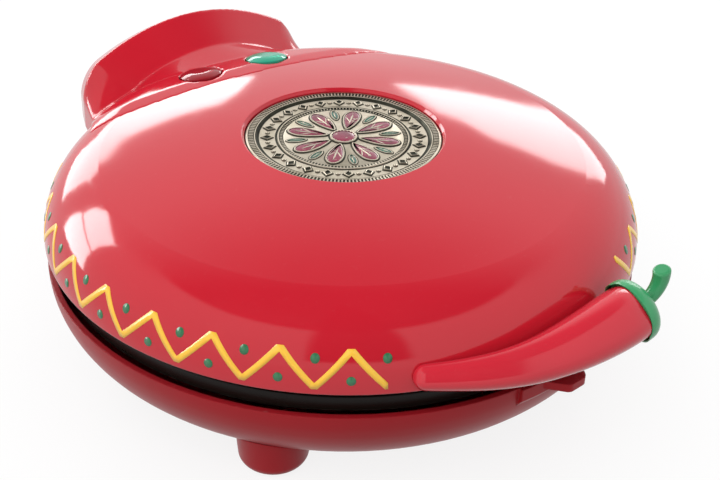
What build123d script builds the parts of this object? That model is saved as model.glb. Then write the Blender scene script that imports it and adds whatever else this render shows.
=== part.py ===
from build123d import *
from math import atan2, cos, degrees, radians, sin, sqrt
import os

# Quesadilla maker: a round countertop cooker. A domed lid with a pepper-shaped
# handle is hinged at the back to a shallow base on four feet, and two non-stick
# plates close on each other round the edge.
# Millimetres, +Z up, the front (handle) towards -Y, the hinge towards +Y.
# The origin is where the round body's centre line meets the table.
# An azimuth is measured from the front (-Y) towards +X.

UPRIGHT = (Align.CENTER, Align.CENTER, Align.MIN)
HANGING = (Align.CENTER, Align.CENTER, Align.MAX)

# Overall sizes
lid_radius = 130.0
lid_rise = 43.0
cap_radius = 480.0
lid_edge_z = 58.0
lid_wall = 2.6
base_inset = 0.5
rim_gap = 11.4
base_wall = 2.6

# Clearances
running_clearance = 0.06
seat_gap = 0.15
body_gap = 0.3

# Base flank, seen in section: two arcs that meet smoothly
flank_upper_radius = 34.5
flank_upper_turn = 50.0
flank_lower_radius = 62.8
flank_lower_turn = 22.4
base_ledge = 11.0

# Bottom pan
pan_inset = 0.55
pan_drop = 4.5
pan_wall = 2.2
pan_corner = 4.0
pan_post_radius = 4.0
pan_post_inset = 7.05
pan_boss_height = 9.0
pan_screw_recess = 3.0
pan_screw_azimuths = (75.0, 165.0, 255.0, 345.0)

# Feet and their pads
foot_inset = 28.5
foot_azimuths = (-48.8, 48.8, 131.2, 228.8)
foot_top_radius = 17.8
foot_bottom_radius = 14.1
foot_corner = 5.0
foot_lift = 0.5
foot_boss_radius = 4.4
foot_boss_height = 8.5
foot_screw_tip_z = 6.0
pad_radius = 6.5
pad_thickness = 2.0

# Cooking plates
plate_inset = 5.0
plate_rim_width = 6.5
plate_draft = 4.5
plate_depth = 6.0
plate_thickness = 3.8
plate_chamfer = 3.5
plate_rim_round = 0.8
plate_split = 4.4
wedge_count = 6
rib_height = 3.3
rib_width = 5.0
rib_taper = 18.0

# Screws, and the posts that carry the plates
post_inset = 6.05
post_azimuths = (45.0, 135.0, 225.0, 315.0)
post_radius = 4.6
plate_boss_height = 2.5
screw_radius = 1.6
screw_head_radius = 3.2
screw_head_height = 2.2
screw_head_round = 0.9
screw_grip = 9.0
screw_tip_gap = 1.0
plate_screw_recess = 12.0
plate_screw_bite = 1.8

# Heating elements, shields and controls
element_inset = 25.0
element_radius = 3.3
element_open_angle = 40.0
element_leg_radius = 2.0
element_leg_length = 13.0
shield_inset = 11.0
shield_depth = 9.5
shield_sheet = 0.8
shield_hole_radius = 3.2
thermostat_radius = 8.0
thermostat_height = 6.5
thermostat_round = 1.2
thermostat_x = 28.0
spade_reach = 5.0
spade_width = 4.6
spade_thickness = 0.8
spade_drop = 2.2
fuse_radius = 2.0
fuse_length = 14.0
fuse_wire_radius = 0.5
fuse_wire_length = 7.0
fuse_y = -30.0

# Terminal blocks and the leads to them
terminal_size = (26.0, 13.0, 11.0)
terminal_inset = 39.0
terminal_corner = 1.0
terminal_screw_radius = 2.0
terminal_screw_depth = 3.0
lead_radius = 2.2
lead_bend = 9.0
lead_seat = 4.0
base_lead_level = 31.5
base_lead_slope = 34.0
lid_lead_level = 30.0
lid_lead_slope = 20.0
lid_lead_start = 7.0
lid_hole_rise = 10.5
lid_hole_clearance = 0.8

# Hinge
hinge_reach = 10.0
hinge_drop = 6.0
knuckle_radius = 7.5
hinge_pin_radius = 2.5
hinge_block_half_width = 30.0
hinge_side_gap = 0.6
hinge_arm_width = 10.0
pin_seat_depth = 10.0
pin_head_radius = 4.4
pin_head_thickness = 1.5
pin_head_round = 0.6
arm_root_inside = 8.0
arm_root_outside = 6.0
arm_bottom_rise = 2.0
arm_top_rise = 12.0

# Hinge block on the base and the inlet for the cord
block_back_inset = 1.5
block_drop = 25.0
block_skirt = 3.0
block_corner = 6.0
block_root = 10.0
block_ceiling = 7.8
inlet_drop = 17.0
inlet_hole_radius = 3.6
inlet_radius = 6.2
inlet_neck = 4.1
inlet_flange = 8.2
inlet_flange_thickness = 2.2
inlet_flange_round = 1.0

# Hinge hood: upright sections from the lid to the rear wall. Each one is the distance
# beyond the lid's radius, then three points (width beyond the hinge arms, height as a
# share of the lid's rise) where the cheek starts, on the cheek and where it meets the
# crown, then the height of the crown as a share of the lid's rise.
hood_front_sections = (
    (-26.0, (29.4, 0.419), (18.9, 0.563), (6.4, 0.679), 0.765),
    (-9.0, (22.9, 0.256), (12.4, 0.386), (2.4, 0.479), 0.805),
    (8.0, (19.9, 0.326), (17.0, 0.547), (11.4, 0.73), 1.081),
)
hood_rear_outline = ((15.4, 0.256), (12.4, 0.453), (6.4, 0.605), 0.907)
hood_swing_gap = 1.4
hood_overhang = 2.5
hood_wall = 2.4
hood_cavity_cuts = (-18.0, -7.5, 5.2)
hood_cavity_step = 1.5
hood_apron_depth = 50.0
hood_apron_flare = 42.4
hood_apron_thickness = 1.4
hood_post_reach = 1.0
hood_post_radius = 4.2

# Medallion on the crown of the lid
medallion_radius = 42.4
medallion_thickness = 2.4
medallion_rim_width = 3.0
medallion_edge_round = 0.6
medallion_sink = 1.6
medallion_relief = 1.1
medallion_slope = 0.8
medallion_ring_radius = 27.0
medallion_ring_width = 1.7
medallion_ring_height = 0.5
medallion_seat_wall = 2.4
medallion_gap = 0.4
medallion_lip_width = 1.1
medallion_lip_depth = 1.4

# Signal lenses
lens_x = 18.0
lens_inset = 35.0
lens_radius = 9.9
lens_spigot_radius = 8.3
lens_spigot_depth = 3.4
lens_crown = 1.5
lamp_radius = 2.6
lamp_length = 9.0

# Pepper handle: azimuth, distance beyond the lid's radius, height over the lid's edge
# and half thickness at stations from the tip to the calyx
pepper_stations = (
    (-22.5, -1.4, 5.4, 4.6),
    (-18.0, 0.7, 5.7, 5.5),
    (-13.0, 3.5, 6.4, 6.6),
    (-8.0, 6.3, 7.3, 7.9),
    (-3.0, 8.7, 8.5, 9.1),
    (2.0, 10.4, 9.8, 10.4),
    (7.0, 11.6, 11.0, 11.6),
    (12.0, 12.7, 11.9, 12.4),
    (17.8, 14.1, 12.2, 12.7),
)
handle_screws_at = ((-7.0, 7.6), (9.0, 9.5))
handle_boss_radius = 3.4
handle_boss_root = 6.0
calyx_lean_out = 0.25
calyx_lean_up = 0.4
calyx_proud = 0.6
calyx_length = 7.4
calyx_overlap = 2.4
stem_seat = 1.4
stem_base_radius = 2.7
stem_top_radius = 3.7
stem_bend_radius = 11.2
stem_turn = 84.0
stem_cuts = 6
stem_top_round = 1.2

# Grip lip on the base under the pepper
lip_azimuth = 8.0
lip_reach = 9.9
lip_thickness = 3.6
lip_root_half_width = 12.5
lip_tip_half_width = 4.5
lip_corner = 3.0
lip_root = 5.0
lip_pad_half_angle = 9.4
lip_pad_proud = 1.8
lip_pad_height = 11.0

# Places worked out from the sizes above
base_radius = lid_radius - base_inset
base_rim_z = lid_edge_z - rim_gap
cap_centre_z = lid_edge_z + lid_rise - cap_radius
shoulder_radius = (cap_radius**2 - lid_radius**2 - (cap_radius - lid_rise) ** 2) / (
    2 * (cap_radius - lid_radius)
)
shoulder_centre_r = lid_radius - shoulder_radius
cap_angle = degrees(atan2(shoulder_centre_r, lid_edge_z - cap_centre_z))
flank_upper_centre = (base_radius - flank_upper_radius, base_rim_z)
flank_lower_centre = (
    flank_upper_centre[0]
    - (flank_lower_radius - flank_upper_radius) * cos(radians(flank_upper_turn)),
    flank_upper_centre[1]
    + (flank_lower_radius - flank_upper_radius) * sin(radians(flank_upper_turn)),
)
flank_end_turn = flank_upper_turn + flank_lower_turn
flank_end = (
    flank_lower_centre[0] + flank_lower_radius * cos(radians(flank_end_turn)),
    flank_lower_centre[1] - flank_lower_radius * sin(radians(flank_end_turn)),
)
ledge_z = flank_end[1]
pan_radius = flank_end[0] - pan_inset
pan_bottom_z = ledge_z - pan_drop
pan_post_circle = flank_end[0] - pan_post_inset
foot_circle = base_radius - foot_inset
foot_boss_top_z = ledge_z + foot_boss_height
plate_radius = lid_radius - plate_inset
post_circle = flank_end[0] - post_inset
element_circle = post_circle - element_inset
shield_radius = post_circle - shield_inset
terminal_y = post_circle - terminal_inset
hinge_y = lid_radius + hinge_reach
hinge_z = lid_edge_z - hinge_drop
hinge_arm_x = hinge_block_half_width + hinge_side_gap + hinge_arm_width / 2
arm_bottom_z = lid_edge_z + arm_bottom_rise
arm_top_z = lid_edge_z + arm_top_rise
block_back_y = hinge_y - block_back_inset
block_bottom_z = base_rim_z - block_drop
inlet_z = base_rim_z - inlet_drop
lid_hole_z = lid_edge_z + lid_hole_rise
hood_bottom_z = lid_edge_z - hood_overhang
hood_post_y = lid_radius + hood_post_reach
hood_back = hinge_reach + knuckle_radius + hood_swing_gap + hood_wall
hood_sections = (*hood_front_sections, (hood_back, *hood_rear_outline))
lens_y = lid_radius - lens_inset
upper_rim_z = lid_edge_z - plate_split
lower_rim_z = upper_rim_z - body_gap
upper_back_z = upper_rim_z + plate_depth + plate_thickness
lower_back_z = lower_rim_z - plate_depth - plate_thickness
lower_post_top_z = lower_back_z - plate_boss_height
upper_post_foot_z = upper_back_z + plate_boss_height
medallion_edge_z = cap_centre_z + sqrt(cap_radius**2 - medallion_radius**2)
medallion_top_z = medallion_edge_z - medallion_sink
medallion_seat_z = medallion_top_z - medallion_thickness
medallion_field_z = medallion_top_z - medallion_relief


def around(radius, azimuth):
    """A point on a circle about the centre line."""
    return (radius * sin(radians(azimuth)), -radius * cos(radians(azimuth)))


def spread(radius, azimuths):
    """Points on a circle, one for each azimuth."""
    return [around(radius, azimuth) for azimuth in azimuths]


def raised(points, z):
    """The same points at a height."""
    return [(x, y, z) for x, y in points]


def section_plane(azimuth):
    """The upright plane through the centre line whose X axis points outwards."""
    x, y = around(1, azimuth)
    return Plane(origin=(0, 0, 0), x_dir=(x, y, 0), z_dir=(y, -x, 0))


def radial_plane(azimuth, radius, z):
    """A plane whose normal points outwards at an azimuth."""
    x, y = around(radius, azimuth)
    return Plane(origin=(x, y, z), x_dir=(0, 0, 1), z_dir=(x, y, 0))


def dome_height(radius):
    """Height of the lid's outer surface at a distance from the centre line."""
    if radius <= cap_radius * sin(radians(cap_angle)):
        return cap_centre_z + sqrt(cap_radius**2 - radius**2)
    return lid_edge_z + sqrt(shoulder_radius**2 - (radius - shoulder_centre_r) ** 2)


def dome_body(offset_by, bottom_z):
    """The space under the lid's surface, moved outwards by offset_by."""
    with BuildPart() as body:
        with BuildSketch(Plane.XZ):
            with BuildLine():
                cap = CenterArc((0, cap_centre_z), cap_radius + offset_by, 90, -cap_angle)
                shoulder = CenterArc(
                    (shoulder_centre_r, lid_edge_z),
                    shoulder_radius + offset_by,
                    90 - cap_angle,
                    cap_angle - 90,
                )
                Polyline(shoulder @ 1, ((shoulder @ 1).X, bottom_z), (0, bottom_z), cap @ 0)
            make_face()
        revolve(axis=Axis.Z)
    return body.part


def base_body(offset_by):
    """The space inside the base's flank, moved outwards by offset_by."""
    with BuildPart() as body:
        with BuildSketch(Plane.XZ):
            with BuildLine():
                upper = CenterArc(
                    flank_upper_centre, flank_upper_radius + offset_by, 0, -flank_upper_turn
                )
                lower = CenterArc(
                    flank_lower_centre,
                    flank_lower_radius + offset_by,
                    -flank_upper_turn,
                    -flank_lower_turn,
                )
                Polyline(lower @ 1, (0, (lower @ 1).Y), (0, base_rim_z), upper @ 0)
            make_face()
        revolve(axis=Axis.Z)
    return body.part


def screw(head_z, tip_z):
    """A round-headed screw on Z with the head's bearing face at head_z."""
    side = 1 if head_z > tip_z else -1
    with BuildPart() as body:
        with BuildSketch(Plane.XY.offset(tip_z)):
            Circle(screw_radius)
        extrude(amount=head_z - tip_z)
        with BuildSketch(Plane.XY.offset(head_z)):
            Circle(screw_head_radius)
        extrude(amount=side * screw_head_height)
        fillet(body.edges().group_by(Axis.Z)[-1 if side > 0 else 0], screw_head_round)
    return body.part


def lens_plane(side):
    """The plane that touches the lid where a signal lens sits."""
    x, y = side * lens_x, lens_y
    z = dome_height(sqrt(x**2 + y**2))
    return Plane(origin=(x, y, z), z_dir=(x, y, z - cap_centre_z))


def hood_section_at(reach, placed_at):
    """The hood's section at one reach, drawn at another."""
    for near, far in zip(hood_sections, hood_sections[1:]):
        if reach <= far[0]:
            break
    share = (reach - near[0]) / (far[0] - near[0])

    def between(a, b):
        return a + (b - a) * share

    corners = [
        (between(a[0], b[0]), between(a[1], b[1])) for a, b in zip(near[1:4], far[1:4])
    ]
    return (placed_at, *corners, between(near[4], far[4]))


def hood_outline(section, inset, bottom_z):
    """Sketches one of the hood's sections, drawn in by inset."""
    reach, *side_points, crown = section
    arm_edge = hinge_arm_x + hinge_arm_width / 2
    cheek, middle, corner = [
        (arm_edge + width - inset, lid_edge_z + lid_rise * height - inset * slope)
        for (width, height), slope in zip(side_points, (0.2, 0.6, 1.0))
    ]
    crown_z = lid_edge_z + lid_rise * crown - inset
    pull = tuple(2 * m - (a + b) / 2 for a, m, b in zip(cheek, middle, corner))
    with BuildSketch(Plane.XZ.offset(-lid_radius - reach)) as outline:
        with BuildLine():
            Line((-cheek[0], bottom_z), (cheek[0], bottom_z))
            Line((cheek[0], bottom_z), cheek)
            Bezier(cheek, pull, corner)
            Bezier(corner, (0, 2 * crown_z - corner[1]), (-corner[0], corner[1]))
            Bezier((-corner[0], corner[1]), (-pull[0], pull[1]), (-cheek[0], cheek[1]))
            Line((-cheek[0], cheek[1]), (-cheek[0], bottom_z))
        make_face()
    return outline.sketch


def pepper_frames():
    """A plane and a radius for each section of the pepper, tip first."""
    centres = []
    for azimuth, distance, height, _ in pepper_stations:
        x, y = around(lid_radius + distance, azimuth)
        centres.append(Vector(x, y, lid_edge_z + height))
    radii = [radius for _, _, _, radius in pepper_stations]
    frames = []
    for index, centre in enumerate(centres):
        before = centres[max(index - 1, 0)]
        after = centres[min(index + 1, len(centres) - 1)]
        heading = (after - before).normalized()
        if index == len(centres) - 1:
            outward = Vector(*around(calyx_lean_out, pepper_stations[index][0]))
            heading = heading + outward + Vector(0, 0, calyx_lean_up)
        frames.append((Plane(origin=centre, x_dir=(0, 0, 1), z_dir=heading), radii[index]))
    return frames


def pepper_distance(azimuth):
    """How far the pepper's middle lies from the centre line at an azimuth."""
    for near, far in zip(pepper_stations, pepper_stations[1:]):
        if azimuth <= far[0]:
            break
    share = (azimuth - near[0]) / (far[0] - near[0])
    return lid_radius + near[1] + (far[1] - near[1]) * share


def handle_head_radius(height):
    """Distance from the centre line at which a handle screw's head bears."""
    inner = shoulder_radius - lid_wall
    rise = height + screw_head_radius
    return shoulder_centre_r + sqrt(inner**2 - rise**2) - seat_gap


def finish(builder, name):
    """Labels a finished piece and writes its STEP file."""
    builder.part.label = name
    export_step(builder.part, f"parts/{name}.step")


os.makedirs("parts", exist_ok=True)

# Base: shell, pan, feet

with BuildPart() as foot_bosses:
    with Locations(*spread(foot_circle, foot_azimuths)):
        Cylinder(foot_boss_radius, foot_boss_top_z, align=UPRIGHT)
    add(base_body(-base_wall / 4), mode=Mode.INTERSECT)

with BuildPart() as hinge_block:
    with BuildSketch(Plane.YZ.offset(-hinge_block_half_width)):
        with Locations((hinge_y, hinge_z)):
            Circle(knuckle_radius)
        with BuildLine():
            Polyline(
                (base_radius - block_root, block_bottom_z + block_skirt),
                (block_back_y - block_corner, block_bottom_z),
                (block_back_y, block_bottom_z + block_corner),
                (block_back_y, hinge_z - knuckle_radius / 2),
                (hinge_y, hinge_z + knuckle_radius / 2),
                (base_radius - base_wall, base_rim_z),
                (base_radius - block_root, base_rim_z),
                close=True,
            )
        make_face()
    extrude(amount=2 * hinge_block_half_width)
    with BuildSketch(Plane.YZ.offset(-hinge_block_half_width + base_wall)):
        with BuildLine():
            Polyline(
                (base_radius - 2 * block_root, block_bottom_z + block_skirt + base_wall),
                (block_back_y - block_corner, block_bottom_z + base_wall),
                (block_back_y - base_wall, block_bottom_z + block_corner),
                (block_back_y - base_wall, base_rim_z - block_ceiling),
                (base_radius - 2 * block_root, base_rim_z - block_ceiling),
                close=True,
            )
        make_face()
    extrude(amount=2 * (hinge_block_half_width - base_wall), mode=Mode.SUBTRACT)
    with BuildSketch(Plane.XZ.offset(-block_back_y)):
        with Locations((0, inlet_z)):
            Circle(inlet_radius)
    extrude(amount=2 * base_wall, mode=Mode.SUBTRACT)
    for side in (-1, 1):
        with BuildSketch(Plane.YZ.offset(side * hinge_block_half_width)):
            with Locations((hinge_y, hinge_z)):
                Circle(hinge_pin_radius)
        extrude(amount=-side * pin_seat_depth, mode=Mode.SUBTRACT)

with BuildPart() as grip_lip:
    with BuildSketch(Plane.XY.offset(base_rim_z - lip_thickness)) as lip_outline:
        with BuildLine():
            Polyline(
                (-lip_root_half_width, -base_radius + lip_root),
                (-lip_root_half_width, -base_radius + base_wall / 2),
                (-lip_tip_half_width, -base_radius - lip_reach),
                (lip_tip_half_width, -base_radius - lip_reach),
                (lip_root_half_width, -base_radius + base_wall / 2),
                (lip_root_half_width, -base_radius + lip_root),
                close=True,
            )
        make_face()
        fillet(lip_outline.vertices().group_by(Axis.Y)[0], lip_corner)
    extrude(amount=lip_thickness)
    with BuildSketch(section_plane(-lip_pad_half_angle)):
        with BuildLine():
            Polyline(
                (base_radius - lip_root, base_rim_z),
                (base_radius + lip_pad_proud, base_rim_z),
                (base_radius + lip_pad_proud, base_rim_z - lip_pad_height / 2),
                (base_radius - base_wall, base_rim_z - lip_pad_height),
                (base_radius - lip_root, base_rim_z - lip_pad_height),
                close=True,
            )
        make_face()
    revolve(axis=Axis.Z, revolution_arc=2 * lip_pad_half_angle)

with BuildPart() as base_shell:
    add(base_body(0))
    add(hinge_block)
    add(grip_lip.part.rotate(Axis.Z, lip_azimuth))
    add(base_body(-base_wall), mode=Mode.SUBTRACT)
    with BuildSketch(Plane.XY.offset(ledge_z)):
        Circle(flank_end[0] - base_ledge)
    extrude(amount=2 * base_wall, mode=Mode.SUBTRACT)
    with Locations(*raised(spread(post_circle, post_azimuths), ledge_z)):
        Cylinder(post_radius, lower_post_top_z - ledge_z, align=UPRIGHT)
    with Locations(*raised(spread(pan_post_circle, pan_screw_azimuths), ledge_z)):
        Cylinder(pan_post_radius, pan_boss_height, align=UPRIGHT)
    add(foot_bosses)
    with Locations(*raised(spread(post_circle, post_azimuths), ledge_z)):
        Cylinder(screw_radius, lower_back_z - ledge_z, align=UPRIGHT, mode=Mode.SUBTRACT)
        Cylinder(
            screw_head_radius + running_clearance,
            plate_screw_recess,
            align=UPRIGHT,
            mode=Mode.SUBTRACT,
        )
    with Locations(*raised(spread(pan_post_circle, pan_screw_azimuths), ledge_z)):
        Cylinder(
            screw_radius, pan_boss_height - screw_tip_gap, align=UPRIGHT, mode=Mode.SUBTRACT
        )
    with Locations(*spread(foot_circle, foot_azimuths)):
        Cylinder(screw_radius, 2 * foot_boss_top_z, align=UPRIGHT, mode=Mode.SUBTRACT)
    with Locations((0, base_radius - base_wall, inlet_z)):
        Box(2 * inlet_radius, 6 * base_wall, 2 * inlet_radius, mode=Mode.SUBTRACT)
finish(base_shell, "base_shell")

with BuildPart() as bottom_pan:
    with BuildSketch(Plane.XZ) as pan_section:
        with BuildLine():
            Polyline(
                (0, pan_bottom_z),
                (pan_radius, pan_bottom_z),
                (pan_radius, ledge_z),
                (pan_radius - pan_wall, ledge_z),
                (pan_radius - pan_wall, pan_bottom_z + pan_wall),
                (0, pan_bottom_z + pan_wall),
                close=True,
            )
        make_face()
        outer_corner = pan_section.vertices().group_by(Axis.Y)[0].sort_by(Axis.X)[-1]
        fillet(outer_corner, pan_corner)
    revolve(axis=Axis.Z)
    with Locations(*raised(spread(pan_post_circle, pan_screw_azimuths), pan_bottom_z)):
        Cylinder(pan_post_radius, pan_drop, align=UPRIGHT)
    with Locations(*raised(spread(pan_post_circle, pan_screw_azimuths), pan_bottom_z)):
        Cylinder(
            screw_head_radius + running_clearance,
            pan_screw_recess,
            align=UPRIGHT,
            mode=Mode.SUBTRACT,
        )
        Cylinder(
            screw_radius + running_clearance, pan_drop, align=UPRIGHT, mode=Mode.SUBTRACT
        )
finish(bottom_pan, "bottom_pan")

with BuildPart() as pan_screws:
    for x, y in spread(pan_post_circle, pan_screw_azimuths):
        head_z = pan_bottom_z + pan_screw_recess
        tip_z = ledge_z + pan_boss_height - 2 * screw_tip_gap
        add(screw(head_z, tip_z).moved(Location((x, y, 0))))
finish(pan_screws, "pan_screws")

foot_names = ("foot_front_left", "foot_front_right", "foot_rear_right", "foot_rear_left")
for foot_name, foot_azimuth in zip(foot_names, foot_azimuths):
    foot_x, foot_y = around(foot_circle, foot_azimuth)
    with BuildPart() as foot:
        with BuildSketch(Plane.XZ) as foot_section:
            with BuildLine():
                Polyline(
                    (0, foot_lift),
                    (foot_bottom_radius, foot_lift),
                    (foot_top_radius, lower_back_z),
                    (0, lower_back_z),
                    close=True,
                )
            make_face()
            ground_corner = foot_section.vertices().group_by(Axis.Y)[0].sort_by(Axis.X)[-1]
            fillet(ground_corner, foot_corner)
        revolve(axis=Axis.Z)
        Cylinder(
            pad_radius + running_clearance,
            pad_thickness,
            align=UPRIGHT,
            mode=Mode.SUBTRACT,
        )
        with Locations((0, 0, foot_screw_tip_z)):
            Cylinder(screw_radius, lower_back_z, align=UPRIGHT, mode=Mode.SUBTRACT)
        with Locations((-foot_x, -foot_y, pan_bottom_z - body_gap)):
            Cylinder(
                pan_radius + body_gap, lower_back_z, align=UPRIGHT, mode=Mode.SUBTRACT
            )
        add(base_body(seat_gap).moved(Location((-foot_x, -foot_y, 0))), mode=Mode.SUBTRACT)
    foot.part = foot.part.moved(Location((foot_x, foot_y, 0)))
    finish(foot, foot_name)

with BuildPart() as foot_pads:
    with Locations(*spread(foot_circle, foot_azimuths)):
        Cylinder(pad_radius, pad_thickness, align=UPRIGHT)
finish(foot_pads, "foot_pads")

with BuildPart() as foot_screws:
    for x, y in spread(foot_circle, foot_azimuths):
        foot_screw = screw(foot_boss_top_z, foot_screw_tip_z + screw_tip_gap)
        add(foot_screw.moved(Location((x, y, 0))))
finish(foot_screws, "foot_screws")

with BuildPart() as cord_inlet:
    with BuildSketch(Plane.XZ.offset(-block_back_y)):
        with Locations((0, inlet_z)):
            Circle(inlet_flange)
    extrude(amount=-inlet_flange_thickness)
    fillet(cord_inlet.edges().group_by(Axis.Y)[-1], inlet_flange_round)
    with BuildSketch(Plane.XZ.offset(-block_back_y)):
        with Locations((0, inlet_z)):
            Circle(inlet_radius - running_clearance)
    extrude(amount=inlet_neck)
    with BuildSketch(Plane.XZ.offset(-block_back_y - inlet_flange_thickness)):
        with Locations((0, inlet_z)):
            Circle(inlet_hole_radius)
    extrude(amount=2 * inlet_neck, mode=Mode.SUBTRACT)
finish(cord_inlet, "cord_inlet")

# Cooking plates


def plate(rim_z, up, name):
    """A round non-stick plate whose pocket opens towards the other plate."""
    side = 1 if up else -1
    floor_z = rim_z + side * plate_depth
    back_z = rim_z + side * (plate_depth + plate_thickness)
    pocket_r = plate_radius - plate_rim_width
    floor_r = pocket_r - plate_draft
    with BuildPart() as body:
        with BuildSketch(Plane.XZ):
            with BuildLine():
                Polyline(
                    (0, floor_z),
                    (floor_r, floor_z),
                    (pocket_r, rim_z),
                    (plate_radius, rim_z),
                    (plate_radius, back_z - side * plate_chamfer),
                    (plate_radius - plate_chamfer, back_z),
                    (0, back_z),
                    close=True,
                )
            make_face()
        revolve(axis=Axis.Z)
        rim_edges = body.edges().filter_by(GeomType.CIRCLE).group_by(Axis.Z)[0 if up else -1]
        fillet(rim_edges, plate_rim_round)
        for rib in range(wedge_count // 2):
            turn = rib * 360 / wedge_count
            with BuildSketch(Plane.XY.offset(floor_z)):
                Rectangle(2 * floor_r + plate_draft, rib_width, rotation=turn)
            extrude(amount=-side * rib_height, taper=rib_taper)
        with Locations(*raised(spread(post_circle, post_azimuths), back_z)):
            Cylinder(
                post_radius,
                plate_boss_height,
                align=UPRIGHT if up else HANGING,
            )
        if up:
            with Locations(*raised(spread(post_circle, post_azimuths), floor_z)):
                Cylinder(
                    screw_head_radius + running_clearance,
                    screw_head_height,
                    align=UPRIGHT,
                    mode=Mode.SUBTRACT,
                )
                Cylinder(
                    screw_radius + running_clearance,
                    plate_thickness + plate_boss_height,
                    align=UPRIGHT,
                    mode=Mode.SUBTRACT,
                )
        else:
            with Locations(*raised(spread(post_circle, post_azimuths), lower_post_top_z)):
                Cylinder(
                    screw_radius,
                    plate_boss_height + plate_screw_bite,
                    align=UPRIGHT,
                    mode=Mode.SUBTRACT,
                )
    finish(body, name)


plate(lower_rim_z, False, "lower_plate")
plate(upper_rim_z, True, "upper_plate")

with BuildPart() as lower_plate_screws:
    for x, y in spread(post_circle, post_azimuths):
        lower_screw = screw(ledge_z + plate_screw_recess, lower_back_z + plate_screw_bite)
        add(lower_screw.moved(Location((x, y, 0))))
finish(lower_plate_screws, "lower_plate_screws")

with BuildPart() as upper_plate_screws:
    head_z = upper_rim_z + plate_depth + screw_head_height
    for x, y in spread(post_circle, post_azimuths):
        upper_screw = screw(head_z, upper_post_foot_z + screw_grip - screw_tip_gap)
        add(upper_screw.moved(Location((x, y, 0))))
finish(upper_plate_screws, "upper_plate_screws")


# Heating elements, shields and controls


def heating_element(back_z, up, name):
    """A tubular ring on a plate's back, open at the hinge side, with two legs."""
    side = 1 if up else -1
    ring_z = back_z + side * (element_radius + seat_gap)
    first = 180 + element_open_angle / 2
    last = 180 - element_open_angle / 2
    with BuildPart() as body:
        with BuildSketch(section_plane(first)):
            with Locations((element_circle, ring_z)):
                Circle(element_radius)
        revolve(axis=Axis.Z, revolution_arc=360 - element_open_angle)
        with Locations(*raised(spread(element_circle, (first, last)), ring_z)):
            Cylinder(
                element_leg_radius,
                element_leg_length,
                align=UPRIGHT if up else HANGING,
            )
    finish(body, name)


def heat_shield(back_z, up, name):
    """A shallow sheet-metal dish over an element."""
    side = 1 if up else -1
    inner_z = back_z + side * shield_depth
    outer_z = inner_z + side * shield_sheet
    legs = (180 + element_open_angle / 2, 180 - element_open_angle / 2)
    with BuildPart() as body:
        with BuildSketch(Plane.XZ):
            with BuildLine():
                Polyline(
                    (0, inner_z),
                    (shield_radius - shield_sheet, inner_z),
                    (shield_radius - shield_sheet, back_z),
                    (shield_radius, back_z),
                    (shield_radius, outer_z),
                    (0, outer_z),
                    close=True,
                )
            make_face()
        revolve(axis=Axis.Z)
        with Locations(*raised(spread(element_circle, legs), inner_z - side)):
            Cylinder(
                shield_hole_radius,
                4 * shield_sheet,
                align=UPRIGHT if up else HANGING,
                mode=Mode.SUBTRACT,
            )
    finish(body, name)


def thermostat(back_z, up, name):
    """A snap disc in its cup, with a flat spade on each side."""
    side = 1 if up else -1
    with BuildPart() as body:
        with Locations((thermostat_x, 0, back_z)):
            Cylinder(
                thermostat_radius, thermostat_height, align=UPRIGHT if up else HANGING
            )
        cap_edges = body.edges().filter_by(GeomType.CIRCLE).group_by(Axis.Z)[-1 if up else 0]
        fillet(cap_edges, thermostat_round)
        spade_z = back_z + side * (thermostat_height - spade_drop)
        with Locations((thermostat_x, 0, spade_z)):
            Box(2 * (thermostat_radius + spade_reach), spade_width, spade_thickness)
    finish(body, name)


heating_element(lower_back_z, False, "lower_heating_element")
heating_element(upper_back_z, True, "upper_heating_element")
heat_shield(lower_back_z, False, "lower_heat_shield")
heat_shield(upper_back_z, True, "upper_heat_shield")
thermostat(lower_back_z, False, "lower_thermostat")
thermostat(upper_back_z, True, "upper_thermostat")

with BuildPart() as thermal_fuse:
    fuse_z = lower_back_z - fuse_radius - seat_gap
    with BuildSketch(Plane.YZ.offset(-fuse_length / 2)):
        with Locations((fuse_y, fuse_z)):
            Circle(fuse_radius)
    extrude(amount=fuse_length)
    with BuildSketch(Plane.YZ.offset(-fuse_length / 2 - fuse_wire_length)):
        with Locations((fuse_y, fuse_z)):
            Circle(fuse_wire_radius)
    extrude(amount=fuse_length + 2 * fuse_wire_length)
finish(thermal_fuse, "thermal_fuse")


def terminal_block(z, name):
    """A ceramic block with three screw terminals."""
    length, width, height = terminal_size
    with BuildPart() as body:
        with Locations((0, terminal_y, z)):
            Box(length, width, height, align=UPRIGHT)
        chamfer(body.edges().filter_by(Axis.Z), terminal_corner)
        with Locations((0, terminal_y, z + height)):
            with GridLocations(length / 3, 1, 3, 1):
                Cylinder(
                    terminal_screw_radius,
                    terminal_screw_depth,
                    align=HANGING,
                    mode=Mode.SUBTRACT,
                )
        with BuildSketch(Plane.XZ.offset(-terminal_y - width / 2)):
            with Locations((0, z + height / 2)):
                Circle(lead_radius)
        extrude(amount=lead_seat, mode=Mode.SUBTRACT)
    finish(body, name)


def lead(points, name):
    """A sheathed lead held at both ends."""
    with BuildPart() as body:
        with BuildLine(Plane.YZ):
            route = FilletPolyline(*points, radius=lead_bend)
        with BuildSketch(Plane(origin=route @ 0, z_dir=route % 0)):
            Circle(lead_radius)
        sweep()
    finish(body, name)


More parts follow.
